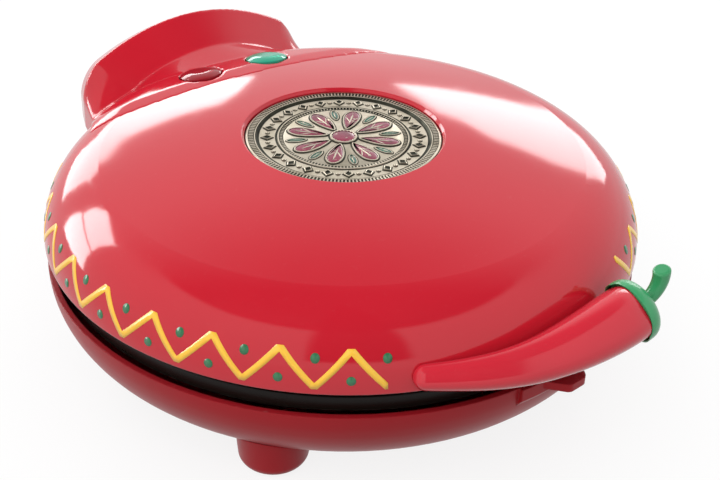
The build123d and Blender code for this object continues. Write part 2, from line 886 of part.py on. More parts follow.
pan_floor_z = pan_bottom_z + pan_wall
shield_top_z = upper_back_z + shield_depth + shield_sheet
block_face_y = terminal_y + terminal_size[1] / 2
terminal_block(pan_floor_z, "base_terminal_block")
terminal_block(shield_top_z, "lid_terminal_block")
base_lead_z = pan_floor_z + terminal_size[2] / 2
lid_lead_z = shield_top_z + terminal_size[2] / 2
base_lead_turn_y = block_back_y - base_wall - base_lead_level
lid_lead_turn_y = hinge_y - lid_lead_start - lid_lead_level
lead(
    (
        (block_back_y - base_wall, inlet_z),
        (base_lead_turn_y, inlet_z),
        (base_lead_turn_y - base_lead_slope, base_lead_z),
        (block_face_y - lead_seat, base_lead_z),
    ),
    "base_lead",
)
lead(
    (
        (hinge_y - lid_lead_start, lid_hole_z),
        (lid_lead_turn_y, lid_hole_z),
        (lid_lead_turn_y - lid_lead_slope, lid_lead_z),
        (block_face_y - lead_seat, lid_lead_z),
    ),
    "lid_lead",
)

# Lid shell

with BuildPart() as crown_seat:
    add(dome_body(-lid_wall / 2, lid_edge_z))
    with Locations((0, 0, medallion_seat_z - medallion_seat_wall)):
        Cylinder(
            medallion_radius + medallion_rim_width,
            lid_rise,
            align=UPRIGHT,
            mode=Mode.INTERSECT,
        )

with BuildPart() as lid_posts:
    with Locations(*raised(spread(post_circle, post_azimuths), upper_post_foot_z)):
        Cylinder(post_radius, lid_rise, align=UPRIGHT)
    add(dome_body(-lid_wall / 2, lid_edge_z), mode=Mode.INTERSECT)

with BuildPart() as hinge_arms:
    for side in (-1, 1):
        with BuildSketch(Plane.YZ.offset(side * hinge_arm_x - hinge_arm_width / 2)):
            with Locations((hinge_y, hinge_z)):
                Circle(knuckle_radius)
            with Locations((lid_radius - arm_root_inside, arm_bottom_z)):
                Rectangle(
                    arm_root_inside + arm_root_outside,
                    arm_top_z - arm_bottom_z,
                    align=(Align.MIN, Align.MIN),
                )
            make_hull()
        extrude(amount=hinge_arm_width)
    add(dome_body(-lid_wall / 2, lid_edge_z - hinge_drop), mode=Mode.SUBTRACT)

with BuildPart() as lid_shell:
    add(dome_body(0, lid_edge_z))
    add(dome_body(-lid_wall, lid_edge_z), mode=Mode.SUBTRACT)
    add(crown_seat)
    add(lid_posts)
    add(hinge_arms)
    with Locations((0, 0, medallion_seat_z)):
        Cylinder(
            medallion_radius + medallion_gap, lid_rise, align=UPRIGHT, mode=Mode.SUBTRACT
        )
    with Locations((0, 0, medallion_edge_z - medallion_lip_depth)):
        Cone(
            medallion_radius + medallion_gap,
            medallion_radius + medallion_gap + 2 * medallion_lip_width,
            2 * medallion_lip_depth,
            align=UPRIGHT,
            mode=Mode.SUBTRACT,
        )
    with Locations(*raised(spread(post_circle, post_azimuths), upper_post_foot_z)):
        Cylinder(screw_radius, screw_grip, align=UPRIGHT, mode=Mode.SUBTRACT)
    for side in (-1, 1):
        with BuildSketch(lens_plane(side).offset(-lens_spigot_depth - lid_wall)):
            Circle(lens_spigot_radius + running_clearance)
        extrude(amount=4 * lid_wall, mode=Mode.SUBTRACT)
        with Locations((side * hinge_arm_x, hood_post_y, 0)):
            Cylinder(
                screw_radius + running_clearance,
                lid_edge_z + lid_rise,
                align=UPRIGHT,
                mode=Mode.SUBTRACT,
            )
            Cylinder(
                screw_head_radius + running_clearance,
                lid_edge_z,
                align=UPRIGHT,
                mode=Mode.SUBTRACT,
            )
    with BuildSketch(Plane.YZ.offset(-hinge_arm_x - hinge_arm_width)):
        with Locations((hinge_y, hinge_z)):
            Circle(hinge_pin_radius + running_clearance)
    extrude(amount=2 * (hinge_arm_x + hinge_arm_width), mode=Mode.SUBTRACT)
    with BuildSketch(Plane.XZ.offset(-hinge_y)):
        with Locations((0, lid_hole_z)):
            Circle(lead_radius + lid_hole_clearance)
    extrude(amount=2 * hinge_reach, mode=Mode.SUBTRACT)
    for azimuth, height in handle_screws_at:
        inside_r = lid_radius - shoulder_radius / 2
        with BuildSketch(radial_plane(azimuth, inside_r, lid_edge_z + height)):
            Circle(screw_radius + running_clearance)
        extrude(amount=shoulder_radius, mode=Mode.SUBTRACT)
finish(lid_shell, "lid_shell")

# Hinge hood

with BuildPart() as hood_form:
    for section in hood_sections:
        add(hood_outline(section, 0, hood_bottom_z))
    loft(ruled=True)

with BuildPart() as hood_cavity:
    for reach in (*hood_cavity_cuts, hood_back - hood_wall):
        section = hood_section_at(reach - hood_cavity_step, reach)
        add(hood_outline(section, hood_wall, hood_bottom_z - hood_wall))
    loft(ruled=True)

with BuildPart() as hood_apron:
    add(dome_body(hood_apron_thickness, lid_edge_z))
    with BuildSketch(Plane.XY.offset(hood_bottom_z)):
        arm_edge = hinge_arm_x + hinge_arm_width / 2
        right_side = [(arm_edge + hood_apron_flare, lid_radius - hood_apron_depth)]
        for reach, cheek, *_ in hood_sections[:2]:
            right_side.append((arm_edge + cheek[0], lid_radius + reach))
        left_side = [(-x, y) for x, y in reversed(right_side)]
        with BuildLine():
            Polyline(*right_side, *left_side, close=True)
        make_face()
    extrude(amount=2 * lid_rise, mode=Mode.INTERSECT)

with BuildPart() as hood_posts:
    with Locations(*[(s * hinge_arm_x, hood_post_y, arm_top_z) for s in (-1, 1)]):
        Cylinder(hood_post_radius, lid_rise, align=UPRIGHT)
    add(hood_form, mode=Mode.INTERSECT)

with BuildPart() as hinge_hood:
    add(hood_form)
    add(hood_cavity, mode=Mode.SUBTRACT)
    add(hood_apron)
    add(hood_posts)
    add(dome_body(seat_gap, hood_bottom_z - hood_wall), mode=Mode.SUBTRACT)
    for side in (-1, 1):
        with BuildSketch(lens_plane(side).offset(-lens_spigot_depth)):
            Circle(lens_radius + running_clearance)
        extrude(amount=2 * lens_spigot_depth + lid_wall, mode=Mode.SUBTRACT)
        with Locations((side * hinge_arm_x, hood_post_y, arm_top_z)):
            Cylinder(screw_radius, screw_grip, align=UPRIGHT, mode=Mode.SUBTRACT)
finish(hinge_hood, "hinge_hood")

with BuildPart() as hood_screws:
    for side in (-1, 1):
        hood_screw = screw(lid_edge_z, arm_top_z + screw_grip - screw_tip_gap)
        add(hood_screw.moved(Location((side * hinge_arm_x, hood_post_y, 0))))
finish(hood_screws, "hood_screws")

for side, pin_name in ((-1, "hinge_pin_left"), (1, "hinge_pin_right")):
    pin_inner_x = hinge_block_half_width - pin_seat_depth
    pin_outer_x = hinge_arm_x + hinge_arm_width / 2 + body_gap
    with BuildPart() as hinge_pin:
        with BuildSketch(Plane.YZ.offset(side * pin_inner_x)):
            with Locations((hinge_y, hinge_z)):
                Circle(hinge_pin_radius)
        extrude(amount=side * (pin_outer_x - pin_inner_x))
        with BuildSketch(Plane.YZ.offset(side * pin_outer_x)):
            with Locations((hinge_y, hinge_z)):
                Circle(pin_head_radius)
        extrude(amount=side * pin_head_thickness)
        fillet(hinge_pin.edges().group_by(Axis.X)[-1 if side > 0 else 0], pin_head_round)
    finish(hinge_pin, pin_name)

# Medallion and signal lenses

ring_top_z = medallion_field_z + medallion_ring_height
ring_slope = medallion_ring_width / 3
with BuildPart() as medallion:
    with BuildSketch(Plane.XZ):
        with BuildLine():
            Polyline(
                (0, medallion_seat_z),
                (medallion_radius, medallion_seat_z),
                (medallion_radius, medallion_top_z - medallion_edge_round),
                (medallion_radius - medallion_edge_round, medallion_top_z),
                (medallion_radius - medallion_rim_width, medallion_top_z),
                (medallion_radius - medallion_rim_width - medallion_slope, medallion_field_z),
                (medallion_ring_radius, medallion_field_z),
                (medallion_ring_radius - ring_slope, ring_top_z),
                (medallion_ring_radius - medallion_ring_width + ring_slope, ring_top_z),
                (medallion_ring_radius - medallion_ring_width, medallion_field_z),
                (0, medallion_field_z),
                close=True,
            )
        make_face()
    revolve(axis=Axis.Z)
finish(medallion, "medallion")

for side, lens_name in ((-1, "signal_lens_red"), (1, "signal_lens_green")):
    with BuildPart() as lens:
        seat = lens_plane(side)
        with BuildSketch(seat.offset(-lens_spigot_depth)):
            Circle(lens_spigot_radius)
        extrude(amount=lens_spigot_depth + seat_gap)
        with BuildSketch(seat.offset(seat_gap)):
            Circle(lens_radius)
        extrude(amount=hood_apron_thickness - seat_gap)
        for rise_share, radius_share in ((0, 1), (0.6, 0.78), (1, 0.36)):
            with BuildSketch(seat.offset(hood_apron_thickness + lens_crown * rise_share)):
                Circle(lens_radius * radius_share)
        loft()
    finish(lens, lens_name)

with BuildPart() as pilot_lamps:
    for side in (-1, 1):
        lamp_seat = lens_plane(side).offset(-lens_spigot_depth - seat_gap)
        with BuildSketch(lamp_seat):
            Circle(lamp_radius)
        extrude(amount=-lamp_length)
finish(pilot_lamps, "pilot_lamps")

# Pepper handle

with BuildPart() as pepper_form:
    for plane, radius in pepper_frames():
        with BuildSketch(plane):
            Circle(radius)
    loft()
    tip_plane, tip_radius = pepper_frames()[0]
    with Locations(tip_plane.location):
        Sphere(tip_radius)

with BuildPart() as pepper_handle:
    add(pepper_form)
    for azimuth, height in handle_screws_at:
        boss_r = lid_radius - handle_boss_root
        with BuildSketch(radial_plane(azimuth, boss_r, lid_edge_z + height)):
            Circle(handle_boss_radius)
        extrude(amount=pepper_distance(azimuth) - boss_r)
    add(dome_body(seat_gap, 0), mode=Mode.SUBTRACT)
    for azimuth, height in handle_screws_at:
        with BuildSketch(radial_plane(azimuth, boss_r, lid_edge_z + height)):
            Circle(screw_radius)
        extrude(amount=handle_boss_root + screw_grip, mode=Mode.SUBTRACT)
finish(pepper_handle, "pepper_handle")

with BuildPart() as handle_screws:
    for azimuth, height in handle_screws_at:
        head_r = handle_head_radius(height)
        with BuildSketch(radial_plane(azimuth, head_r, lid_edge_z + height)):
            Circle(screw_radius)
        extrude(amount=lid_radius + screw_grip - screw_tip_gap - head_r)
        with BuildSketch(radial_plane(azimuth, head_r, lid_edge_z + height)):
            Circle(screw_head_radius)
        extrude(amount=-screw_head_height)
finish(handle_screws, "handle_screws")

end_plane, end_radius = pepper_frames()[-1]
calyx_radius = end_radius + calyx_proud
with BuildPart() as pepper_calyx:
    with BuildSketch(end_plane.offset(-calyx_overlap)):
        Circle(calyx_radius)
    extrude(amount=calyx_overlap)
    for length_share, radius_share in ((0, 1), (0.45, 0.93), (0.8, 0.72), (1, 0.42)):
        with BuildSketch(end_plane.offset(calyx_length * length_share)):
            Circle(calyx_radius * radius_share)
    loft()
    add(pepper_handle, mode=Mode.SUBTRACT)
    add(dome_body(seat_gap, 0), mode=Mode.SUBTRACT)
finish(pepper_calyx, "pepper_calyx")

stem_plane = Plane(
    origin=end_plane.origin,
    x_dir=end_plane.z_dir,
    z_dir=end_plane.z_dir.cross(Vector(0, 0, 1)),
)
with BuildPart() as pepper_stem:
    with BuildLine(stem_plane):
        stem_arc = CenterArc(
            (calyx_length - stem_seat, stem_bend_radius), stem_bend_radius, -90, stem_turn
        )
    for cut in range(stem_cuts + 1):
        share = cut / stem_cuts
        cut_plane = Plane(
            origin=stem_arc @ share, x_dir=stem_plane.z_dir, z_dir=stem_arc % share
        )
        with BuildSketch(cut_plane):
            Circle(stem_base_radius + (stem_top_radius - stem_base_radius) * share)
    loft()
    fillet(pepper_stem.edges().sort_by(Axis.Z)[-1], stem_top_round)
    add(pepper_calyx, mode=Mode.SUBTRACT)
finish(pepper_stem, "pepper_stem")
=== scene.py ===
import math

import bmesh
import bpy
from bpy.props import FloatProperty, FloatVectorProperty, IntProperty, PointerProperty
from mathutils import Matrix, Vector


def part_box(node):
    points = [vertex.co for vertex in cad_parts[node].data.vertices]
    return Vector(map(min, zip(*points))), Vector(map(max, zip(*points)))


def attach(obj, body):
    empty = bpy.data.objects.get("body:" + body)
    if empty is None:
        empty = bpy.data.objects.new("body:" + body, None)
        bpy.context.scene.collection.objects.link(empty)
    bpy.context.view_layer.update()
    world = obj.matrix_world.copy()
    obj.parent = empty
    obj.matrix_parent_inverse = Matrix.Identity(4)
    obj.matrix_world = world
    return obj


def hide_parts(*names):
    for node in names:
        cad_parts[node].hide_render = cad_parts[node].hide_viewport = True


bl_info = {
    "name": "Quesadilla maker looks",
    "version": (1, 0, 0),
    "blender": (4, 5, 0),
    "location": "3D View > Sidebar > Cooker",
    "description": "Finishes, printed band, medallion, pepper handle and stage of a quesadilla maker",
    "category": "Object",
}

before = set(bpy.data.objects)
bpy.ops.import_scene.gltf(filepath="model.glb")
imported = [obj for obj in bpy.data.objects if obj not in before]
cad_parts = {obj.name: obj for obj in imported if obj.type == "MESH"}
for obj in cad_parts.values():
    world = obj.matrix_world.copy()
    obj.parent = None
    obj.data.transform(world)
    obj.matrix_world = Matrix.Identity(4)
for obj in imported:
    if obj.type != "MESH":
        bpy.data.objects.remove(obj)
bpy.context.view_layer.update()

MM = 0.001
WELD = 0.001 * MM
UP = Vector((0, 0, 1))

# The lid's outer surface: a flat cap that runs into a rounder shoulder
LID_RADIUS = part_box("lid_shell")[1].x
LID_EDGE_Z = 58 * MM
LID_RISE = 43 * MM
CAP_RADIUS = 480 * MM
SHOULDER_RADIUS = (CAP_RADIUS**2 - LID_RADIUS**2 - (CAP_RADIUS - LID_RISE) ** 2) / (
    2 * (CAP_RADIUS - LID_RADIUS)
)
SHOULDER_CENTRE = LID_RADIUS - SHOULDER_RADIUS

MEDALLION_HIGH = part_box("medallion")[1]
FEET = ("foot_front_left", "foot_front_right", "foot_rear_left", "foot_rear_right")
# The front edge of the hinge hood's apron sinks until it is nearly flush with the lid
APRON_BLEND = 9 * MM
APRON_SINK = 1.25 * MM
APRON_RINGS = 6
HOOD_FACE = 0.8 * MM
HOOD_SMOOTHING = 9
# The printed band: how many strokes would go all the way round, and how the ink lies on the lid
STROKES_ROUND = 60
INK_LIFT = 0.12 * MM
INK_THICKNESS = 0.3 * MM


def paint(code):
    """The linear colour of a web colour code."""
    shades = [int(code[i : i + 2], 16) / 255 for i in (1, 3, 5)]
    linear = [s / 12.92 if s <= 0.04045 else ((s + 0.055) / 1.055) ** 2.4 for s in shades]
    return (*linear, 1.0)


def colour_property(name, description, code):
    """A colour that the sidebar shows."""
    return FloatVectorProperty(
        name=name,
        description=description,
        subtype="COLOR",
        size=4,
        min=0,
        max=1,
        default=paint(code),
    )


def length_property(name, description, millimetres):
    """A length that the sidebar shows in the scene's units."""
    length = millimetres * MM
    return FloatProperty(
        name=name, description=description, default=length, min=0, unit="LENGTH", precision=5
    )


def share_property(name, description, share, most=1):
    """A share that the sidebar shows."""
    return FloatProperty(name=name, description=description, default=share, min=0, max=most)


def level_property(name, description, level):
    """A brightness that the sidebar shows."""
    return FloatProperty(name=name, description=description, default=level, min=0)


def turn_property(name, description, degrees):
    """An angle that the sidebar shows."""
    return FloatProperty(
        name=name, description=description, default=math.radians(degrees), unit="ROTATION"
    )


class HousingFinish(bpy.types.PropertyGroup):
    """Colours and gloss of the moulded housings."""

    lid_red: colour_property("Lid red", "Glossy plastic of the lid and the hinge hood", "#c41f2f")
    base_red: colour_property("Base red", "Plastic of the base, the pan and the feet", "#9e1b24")
    lid_gloss: share_property("Lid gloss", "Roughness of the lid", 0.07)
    base_gloss: share_property("Base gloss", "Roughness of the base", 0.34)


class PrintedBand(bpy.types.PropertyGroup):
    """The zigzag line and the dots printed round the lid's shoulder."""

    line_colour: colour_property("Line", "Ink of the zigzag line", "#ffcb3c")
    dot_colour: colour_property("Dots", "Ink of the dots", "#2f7a50")
    valley_height: length_property("Valley height", "Height of the low corners over the lid's edge", 3)
    peak_height: length_property("Peak height", "Height of the high corners over the lid's edge", 17)
    stroke: length_property("Stroke", "Width of the line", 2.6)
    corner_reach: length_property("Corner reach", "How far a blunt corner passes the line's middle", 0.35)
    dot_radius: length_property("Dot radius", "Radius of a dot", 1.8)
    low_dot_height: length_property("Low dots", "Height of the dots under the peaks", 6)
    high_dot_height: length_property("High dots", "Height of the dots over the valleys", 14)
    first_peak: turn_property("First peak", "Azimuth where the line starts", 28)
    legs: IntProperty(
        name="Legs", description="Strokes from the first peak to the last valley", default=51, min=1
    )


class MedallionDesign(bpy.types.PropertyGroup):
    """The badge on the crown of the lid."""

    metal: colour_property("Pewter", "Bare metal of the medallion", "#cfc5b2")
    patina: colour_property("Patina", "Dark film in its recesses", "#46463c")
    petal: colour_property("Petals", "Enamel of the rosette's petals", "#8c2344")
    leaf: colour_property("Leaves", "Enamel of the leaves between them", "#2a6b56")
    petals: IntProperty(name="Petals", description="Petals of the rosette", default=8, min=3)
    teeth: IntProperty(name="Teeth", description="Teeth of the milled ring", default=168, min=12)


class PepperFinish(bpy.types.PropertyGroup):
    """The pepper-shaped handle."""

    skin: colour_property("Skin", "Red of the pepper", "#d0293a")
    green: colour_property("Green", "Green of the calyx and the stalk", "#3fa36a")
    lobe_depth: share_property("Lobes", "Depth of the long furrows", 0.08, most=0.2)


class StageLight(bpy.types.PropertyGroup):
    """Floor, lamps and world."""

    window_light: level_property("Windows", "Radiance of the window lamps", 6.2)
    key_light: level_property("Key", "Radiance of the key lamp", 1.7)
    bounce_light: level_property("Bounce", "Radiance of the warm light off the table", 2.6)
    horizon: level_property("Horizon", "World light near the horizon", 0.75)
    zenith: level_property("Zenith", "World light overhead", 1.0)
    ceiling: level_property("Ceiling", "How bright the ceiling looks in gloss", 0.05)
    gap_azimuth: turn_property("Gap", "Where the gap between the walls is", -27)
    gap_width: turn_property("Gap width", "Width of that gap", 36)
    lens: FloatProperty(name="Lens", description="Focal length in millimetres", default=70, min=1)


# Nodes


def put(tree, kind, joined=None, **settings):
    """Adds a node, sets it up and fills its inputs with sockets or plain values."""
    node = tree.nodes.new(kind)
    for name, value in settings.items():
        setattr(node, name, value)
    for name, value in (joined or {}).items():
        if isinstance(value, bpy.types.NodeSocket):
            tree.links.new(value, node.inputs[name])
        else:
            node.inputs[name].default_value = value
    return node


def calc(tree, operation, *values, clamp=False):
    """The result of a Math node."""
    joined = dict(enumerate(values))
    return put(tree, "ShaderNodeMath", joined, operation=operation, use_clamp=clamp).outputs[0]


def dot_product(tree, first, second):
    """How far one direction goes along another."""
    joined = {0: first, 1: second}
    return put(tree, "ShaderNodeVectorMath", joined, operation="DOT_PRODUCT").outputs["Value"]


def blend_colour(tree, share, first, second, mode="MIX"):
    """The result of a colour mix."""
    joined = {0: share, 6: first, 7: second}
    return put(tree, "ShaderNodeMix", joined, data_type="RGBA", blend_type=mode).outputs[2]


def rescale(tree, value, low, high, to_low=0.0, to_high=1.0):
    """A value moved from one range to another and kept inside it."""
    joined = {"Value": value, "From Min": low, "From Max": high, "To Min": to_low, "To Max": to_high}
    return put(tree, "ShaderNodeMapRange", joined, interpolation_type="SMOOTHSTEP").outputs[0]


def object_point(tree):
    """Object coordinates."""
    return put(tree, "ShaderNodeTexCoord").outputs["Object"]


def noise(tree, scale, detail=2.0, stretch=None, distortion=0.0):
    """The value of a noise over the object, stretched along its axes if asked."""
    point = object_point(tree)
    if stretch:
        point = put(tree, "ShaderNodeMapping", {"Vector": point, "Scale": stretch}).outputs[0]
    joined = {"Vector": point, "Scale": scale, "Detail": detail, "Distortion": distortion}
    return put(tree, "ShaderNodeTexNoise", joined).outputs[0]


def hollows(tree, reach):
    """How open the surface is within so many metres: 1 in the open, less in a hollow."""
    return put(tree, "ShaderNodeAmbientOcclusion", {"Distance": reach}, samples=8).outputs["AO"]


def start_group(name, inputs, outputs):
    """An empty node group with its sockets, and the nodes at its two ends."""
    tree = bpy.data.node_groups.new(name, "ShaderNodeTree")
    for socket_name, kind, value in inputs:
        socket = tree.interface.new_socket(socket_name, in_out="INPUT", socket_type="NodeSocket" + kind)
        socket.default_value = value
    for socket_name, kind in outputs:
        tree.interface.new_socket(socket_name, in_out="OUTPUT", socket_type="NodeSocket" + kind)
    return tree, tree.nodes.new("NodeGroupInput").outputs, tree.nodes.new("NodeGroupOutput").inputs


PLASTIC_SHADE = (0.35, 0.3, 0.32, 1)
DUST_COLOUR = (0.75, 0.72, 0.68, 1)
ENAMEL_SHADE = (0.25, 0.2, 0.22, 1)


def make_moulded_group():
    """Moulded plastic: slow drift of the colour, fine grain, faint rub marks and settled dust."""
    tree, given, result = start_group(
        "moulded_plastic",
        (
            ("Colour", "Color", (0.5, 0.5, 0.5, 1)),
            ("Roughness", "Float", 0.2),
            ("Drift", "Float", 0.1),
            ("Rub", "Float", 0.05),
            ("Grain size", "Float", 900.0),
            ("Grain depth", "Float", 0.02),
            ("Dust", "Float", 0.05),
            ("Edge radius", "Float", 0.4 * MM),
        ),
        (("Colour", "Color"), ("Roughness", "Float"), ("Normal", "Vector")),
    )
    rounded = put(tree, "ShaderNodeBevel", {"Radius": given["Edge radius"]}, samples=6).outputs[0]
    slow = rescale(tree, noise(tree, 14, 3, distortion=0.4), 0.3, 0.7)
    rub = rescale(tree, noise(tree, 60, 5, (1, 1, 3.5), 0.8), 0.52, 0.8)
    grain = noise(tree, given["Grain size"], 3.0)
    facing = put(tree, "ShaderNodeNewGeometry").outputs["Normal"]
    up = put(tree, "ShaderNodeSeparateXYZ", {0: facing}).outputs[2]
    specks = rescale(tree, noise(tree, 420, 6), 0.6, 0.78)
    settled = calc(tree, "MULTIPLY", rescale(tree, up, 0.2, 0.95), specks)
    dust = calc(tree, "MULTIPLY", settled, given["Dust"])
    darker = blend_colour(tree, given["Drift"], given["Colour"], PLASTIC_SHADE, "MULTIPLY")
    drifted = blend_colour(tree, slow, darker, given["Colour"])
    tree.links.new(blend_colour(tree, dust, drifted, DUST_COLOUR), result["Colour"])
    rubbed = calc(tree, "MULTIPLY_ADD", rub, given["Rub"], given["Roughness"])
    dusted = calc(tree, "MULTIPLY_ADD", dust, 0.8, rubbed)
    tree.links.new(calc(tree, "MULTIPLY_ADD", grain, 0.03, dusted), result["Roughness"])
    joined = {
        "Height": grain,
        "Strength": given["Grain depth"],
        "Distance": 0.3 * MM,
        "Normal": rounded,
    }
    tree.links.new(put(tree, "ShaderNodeBump", joined).outputs[0], result["Normal"])
    return tree


def make_wear_group():
    """A mask of worn edges: where a rounded copy of the surface turns away from the real one."""
    tree, given, result = start_group(
        "edge_wear", (("Radius", "Float", 0.6 * MM), ("Amount", "Float", 0.5)), (("Mask", "Float"),)
    )
    rounded = put(tree, "ShaderNodeBevel", {"Radius": given["Radius"]}, samples=6).outputs[0]
    straight = put(tree, "ShaderNodeNewGeometry").outputs["Normal"]
    turned = calc(tree, "SUBTRACT", 1.0, dot_product(tree, rounded, straight))
    edges = rescale(tree, turned, 0.01, 0.12)
    broken = rescale(tree, noise(tree, 260, 5, distortion=0.6), 0.42, 0.66)
    patchy = calc(tree, "MULTIPLY", edges, broken)
    worn = calc(tree, "MULTIPLY", patchy, given["Amount"], clamp=True)
    tree.links.new(worn, result["Mask"])
    return tree


def make_metal_group():
    """Bare metal: brushed or cast grain in the roughness and the normal, and faint stains."""
    tree, given, result = start_group(
        "bare_metal",
        (
            ("Colour", "Color", (0.7, 0.7, 0.7, 1)),
            ("Stain", "Color", (0.4, 0.35, 0.3, 1)),
            ("Stain amount", "Float", 0.3),
            ("Roughness", "Float", 0.3),
            ("Grain size", "Float", 1200.0),
            ("Grain depth", "Float", 0.05),
        ),
        (("Colour", "Color"), ("Roughness", "Float"), ("Normal", "Vector")),
    )
    patches = rescale(tree, noise(tree, 55, 5, distortion=1.2), 0.45, 0.7)
    share = calc(tree, "MULTIPLY", patches, given["Stain amount"])
    stained = blend_colour(tree, share, given["Colour"], given["Stain"])
    grain = noise(tree, given["Grain size"], 4.0)
    rough = calc(tree, "MULTIPLY_ADD", grain, 0.18, given["Roughness"])
    joined = {"Height": grain, "Strength": given["Grain depth"], "Distance": 0.1 * MM}
    bump = put(tree, "ShaderNodeBump", joined)
    tree.links.new(stained, result["Colour"])
    tree.links.new(calc(tree, "MULTIPLY_ADD", patches, 0.12, rough), result["Roughness"])
    tree.links.new(bump.outputs[0], result["Normal"])
    return tree


GROUP_MAKERS = {
    "moulded_plastic": make_moulded_group,
    "edge_wear": make_wear_group,
    "bare_metal": make_metal_group,
}


def group(tree, name, joined):
    """Places a shared node group, which is made the first time."""
    shared = bpy.data.node_groups.get(name) or GROUP_MAKERS[name]()
    return put(tree, "ShaderNodeGroup", joined, node_tree=shared)


def start_material(name, **plain):
    """A material with a Principled shader, whose plain values are set on its own sockets."""
    material = bpy.data.materials.new(name)
    material.use_nodes = True
    tree = material.node_tree
    tree.nodes.clear()
    shader = tree.nodes.new("ShaderNodeBsdfPrincipled")
    for socket, value in plain.items():
        shader.inputs[socket.replace("_", " ")].default_value = value
    tree.links.new(shader.outputs[0], tree.nodes.new("ShaderNodeOutputMaterial").inputs[0])
    return material, tree, shader


def join(tree, shader, node, *names):
    """Links a group's outputs to the shader's inputs of the same name."""
    for name in names:
        tree.links.new(node.outputs[name], shader.inputs["Base Color" if name == "Colour" else name])


def plastic(
    name, colour, roughness, drift=0.12, rub=0.05, size=900.0, depth=0.02, dust=0.04, edge=0.4, **plain
):
    """Moulded plastic, its edges rounded by so many millimetres."""
    material, tree, shader = start_material(name, **plain)
    skin = group(
        tree,
        "moulded_plastic",
        {
            "Colour": colour,
            "Roughness": roughness,
            "Drift": drift,
            "Rub": rub,
            "Grain size": size,
            "Grain depth": depth,
            "Dust": dust,
            "Edge radius": edge * MM,
        },
    )
    join(tree, shader, skin, "Colour", "Roughness", "Normal")
    return material


def metal(name, colour, stain, roughness, amount=0.3, size=1200.0, depth=0.05, **plain):
    """Bare metal."""
    material, tree, shader = start_material(name, Metallic=1.0, **plain)
    skin = group(
        tree,
        "bare_metal",
        {
            "Colour": colour,
            "Stain": stain,
            "Stain amount": amount,
            "Roughness": roughness,
            "Grain size": size,
            "Grain depth": depth,
        },
    )
    join(tree, shader, skin, "Colour", "Roughness", "Normal")
    return material


def dress(material, *nodes):
    """Gives CAD nodes a material."""
    for name in nodes:
        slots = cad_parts[name].data.materials
        slots.clear()
        slots.append(material)


# Pieces


def on_dome(azimuth, height, lift):
    """A point over the lid's shoulder."""
    climb = math.asin(height / SHOULDER_RADIUS)
    reach = SHOULDER_CENTRE + (SHOULDER_RADIUS + lift) * math.cos(climb)
    z = LID_EDGE_Z + (SHOULDER_RADIUS + lift) * math.sin(climb)
    return Vector((reach * math.sin(azimuth), -reach * math.cos(azimuth), z))


def build(name, form, materials):
    """Turns a finished bmesh into an object of the scene."""
    mesh = bpy.data.meshes.new(name)
    form.to_mesh(mesh)
    form.free()
    for material in materials:
        mesh.materials.append(material)
    built = bpy.data.objects.new(name, mesh)
    bpy.context.scene.collection.objects.link(built)
    return built


def add_piece(name, form, body, materials, replaces=(), sharp=40):
    """Turns a finished bmesh into a piece that rides on a body."""
    piece = build(name, form, materials)
    mesh = piece.data
    mesh.polygons.foreach_set("use_smooth", [True] * len(mesh.polygons))
    mesh.set_sharp_from_angle(angle=math.radians(sharp))
    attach(piece, body)
    if replaces:
        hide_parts(*replaces)
    return piece


class COOKER_OT_housings(bpy.types.Operator):
    """Finishes the moulded housings of the lid and the base"""

    bl_idname = "cooker.housings"
    bl_label = "Housings"

    def execute(self, context):
        finish = context.scene.cooker_housing
        gloss = plastic(
            "lid_plastic",
            finish.lid_red,
            finish.lid_gloss,
            drift=0.05,
            depth=0.004,
            dust=0.01,
            rub=0.03,
            edge=0.8,
        )
        satin = plastic(
            "base_plastic",
            finish.base_red,
            finish.base_gloss,
            depth=0.012,
            size=1500.0,
            edge=0.9,
            Specular_IOR_Level=0.2,
        )
        dress(gloss, "lid_shell", "hinge_hood")
        dress(satin, "base_shell", "bottom_pan", *FEET)
        self.soften_hood(gloss)
        return {"FINISHED"}

    def soften_hood(self, material):
        """Sinks the apron's front edge and rounds every edge of the hinge hood."""
        form = bmesh.new()
        form.from_mesh(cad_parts["hinge_hood"].data)
        bmesh.ops.remove_doubles(form, verts=form.verts, dist=WELD)
        front = min(v.co.y for v in form.verts)
        for ring in range(1, APRON_RINGS + 1):
            bmesh.ops.bisect_plane(
                form,
                geom=form.verts[:] + form.edges[:] + form.faces[:],
                plane_co=(0, front + ring * APRON_BLEND / APRON_RINGS, 0),
                plane_no=(0, 1, 0),
            )
        for vert in form.verts:
            share = max(0.0, 1 - (vert.co.y - front) / APRON_BLEND)
            vert.co.z -= APRON_SINK * share
        hood = add_piece(
            "hood_softened", form, "lid", [material], replaces=("hinge_hood",)
        )
        remesh = hood.modifiers.new("even_faces", "REMESH")
        remesh.mode = "VOXEL"
        remesh.voxel_size = HOOD_FACE
        remesh.use_smooth_shade = True
        smooth = hood.modifiers.new("round_edges", "SMOOTH")
        smooth.factor = 0.5
        smooth.iterations = HOOD_SMOOTHING


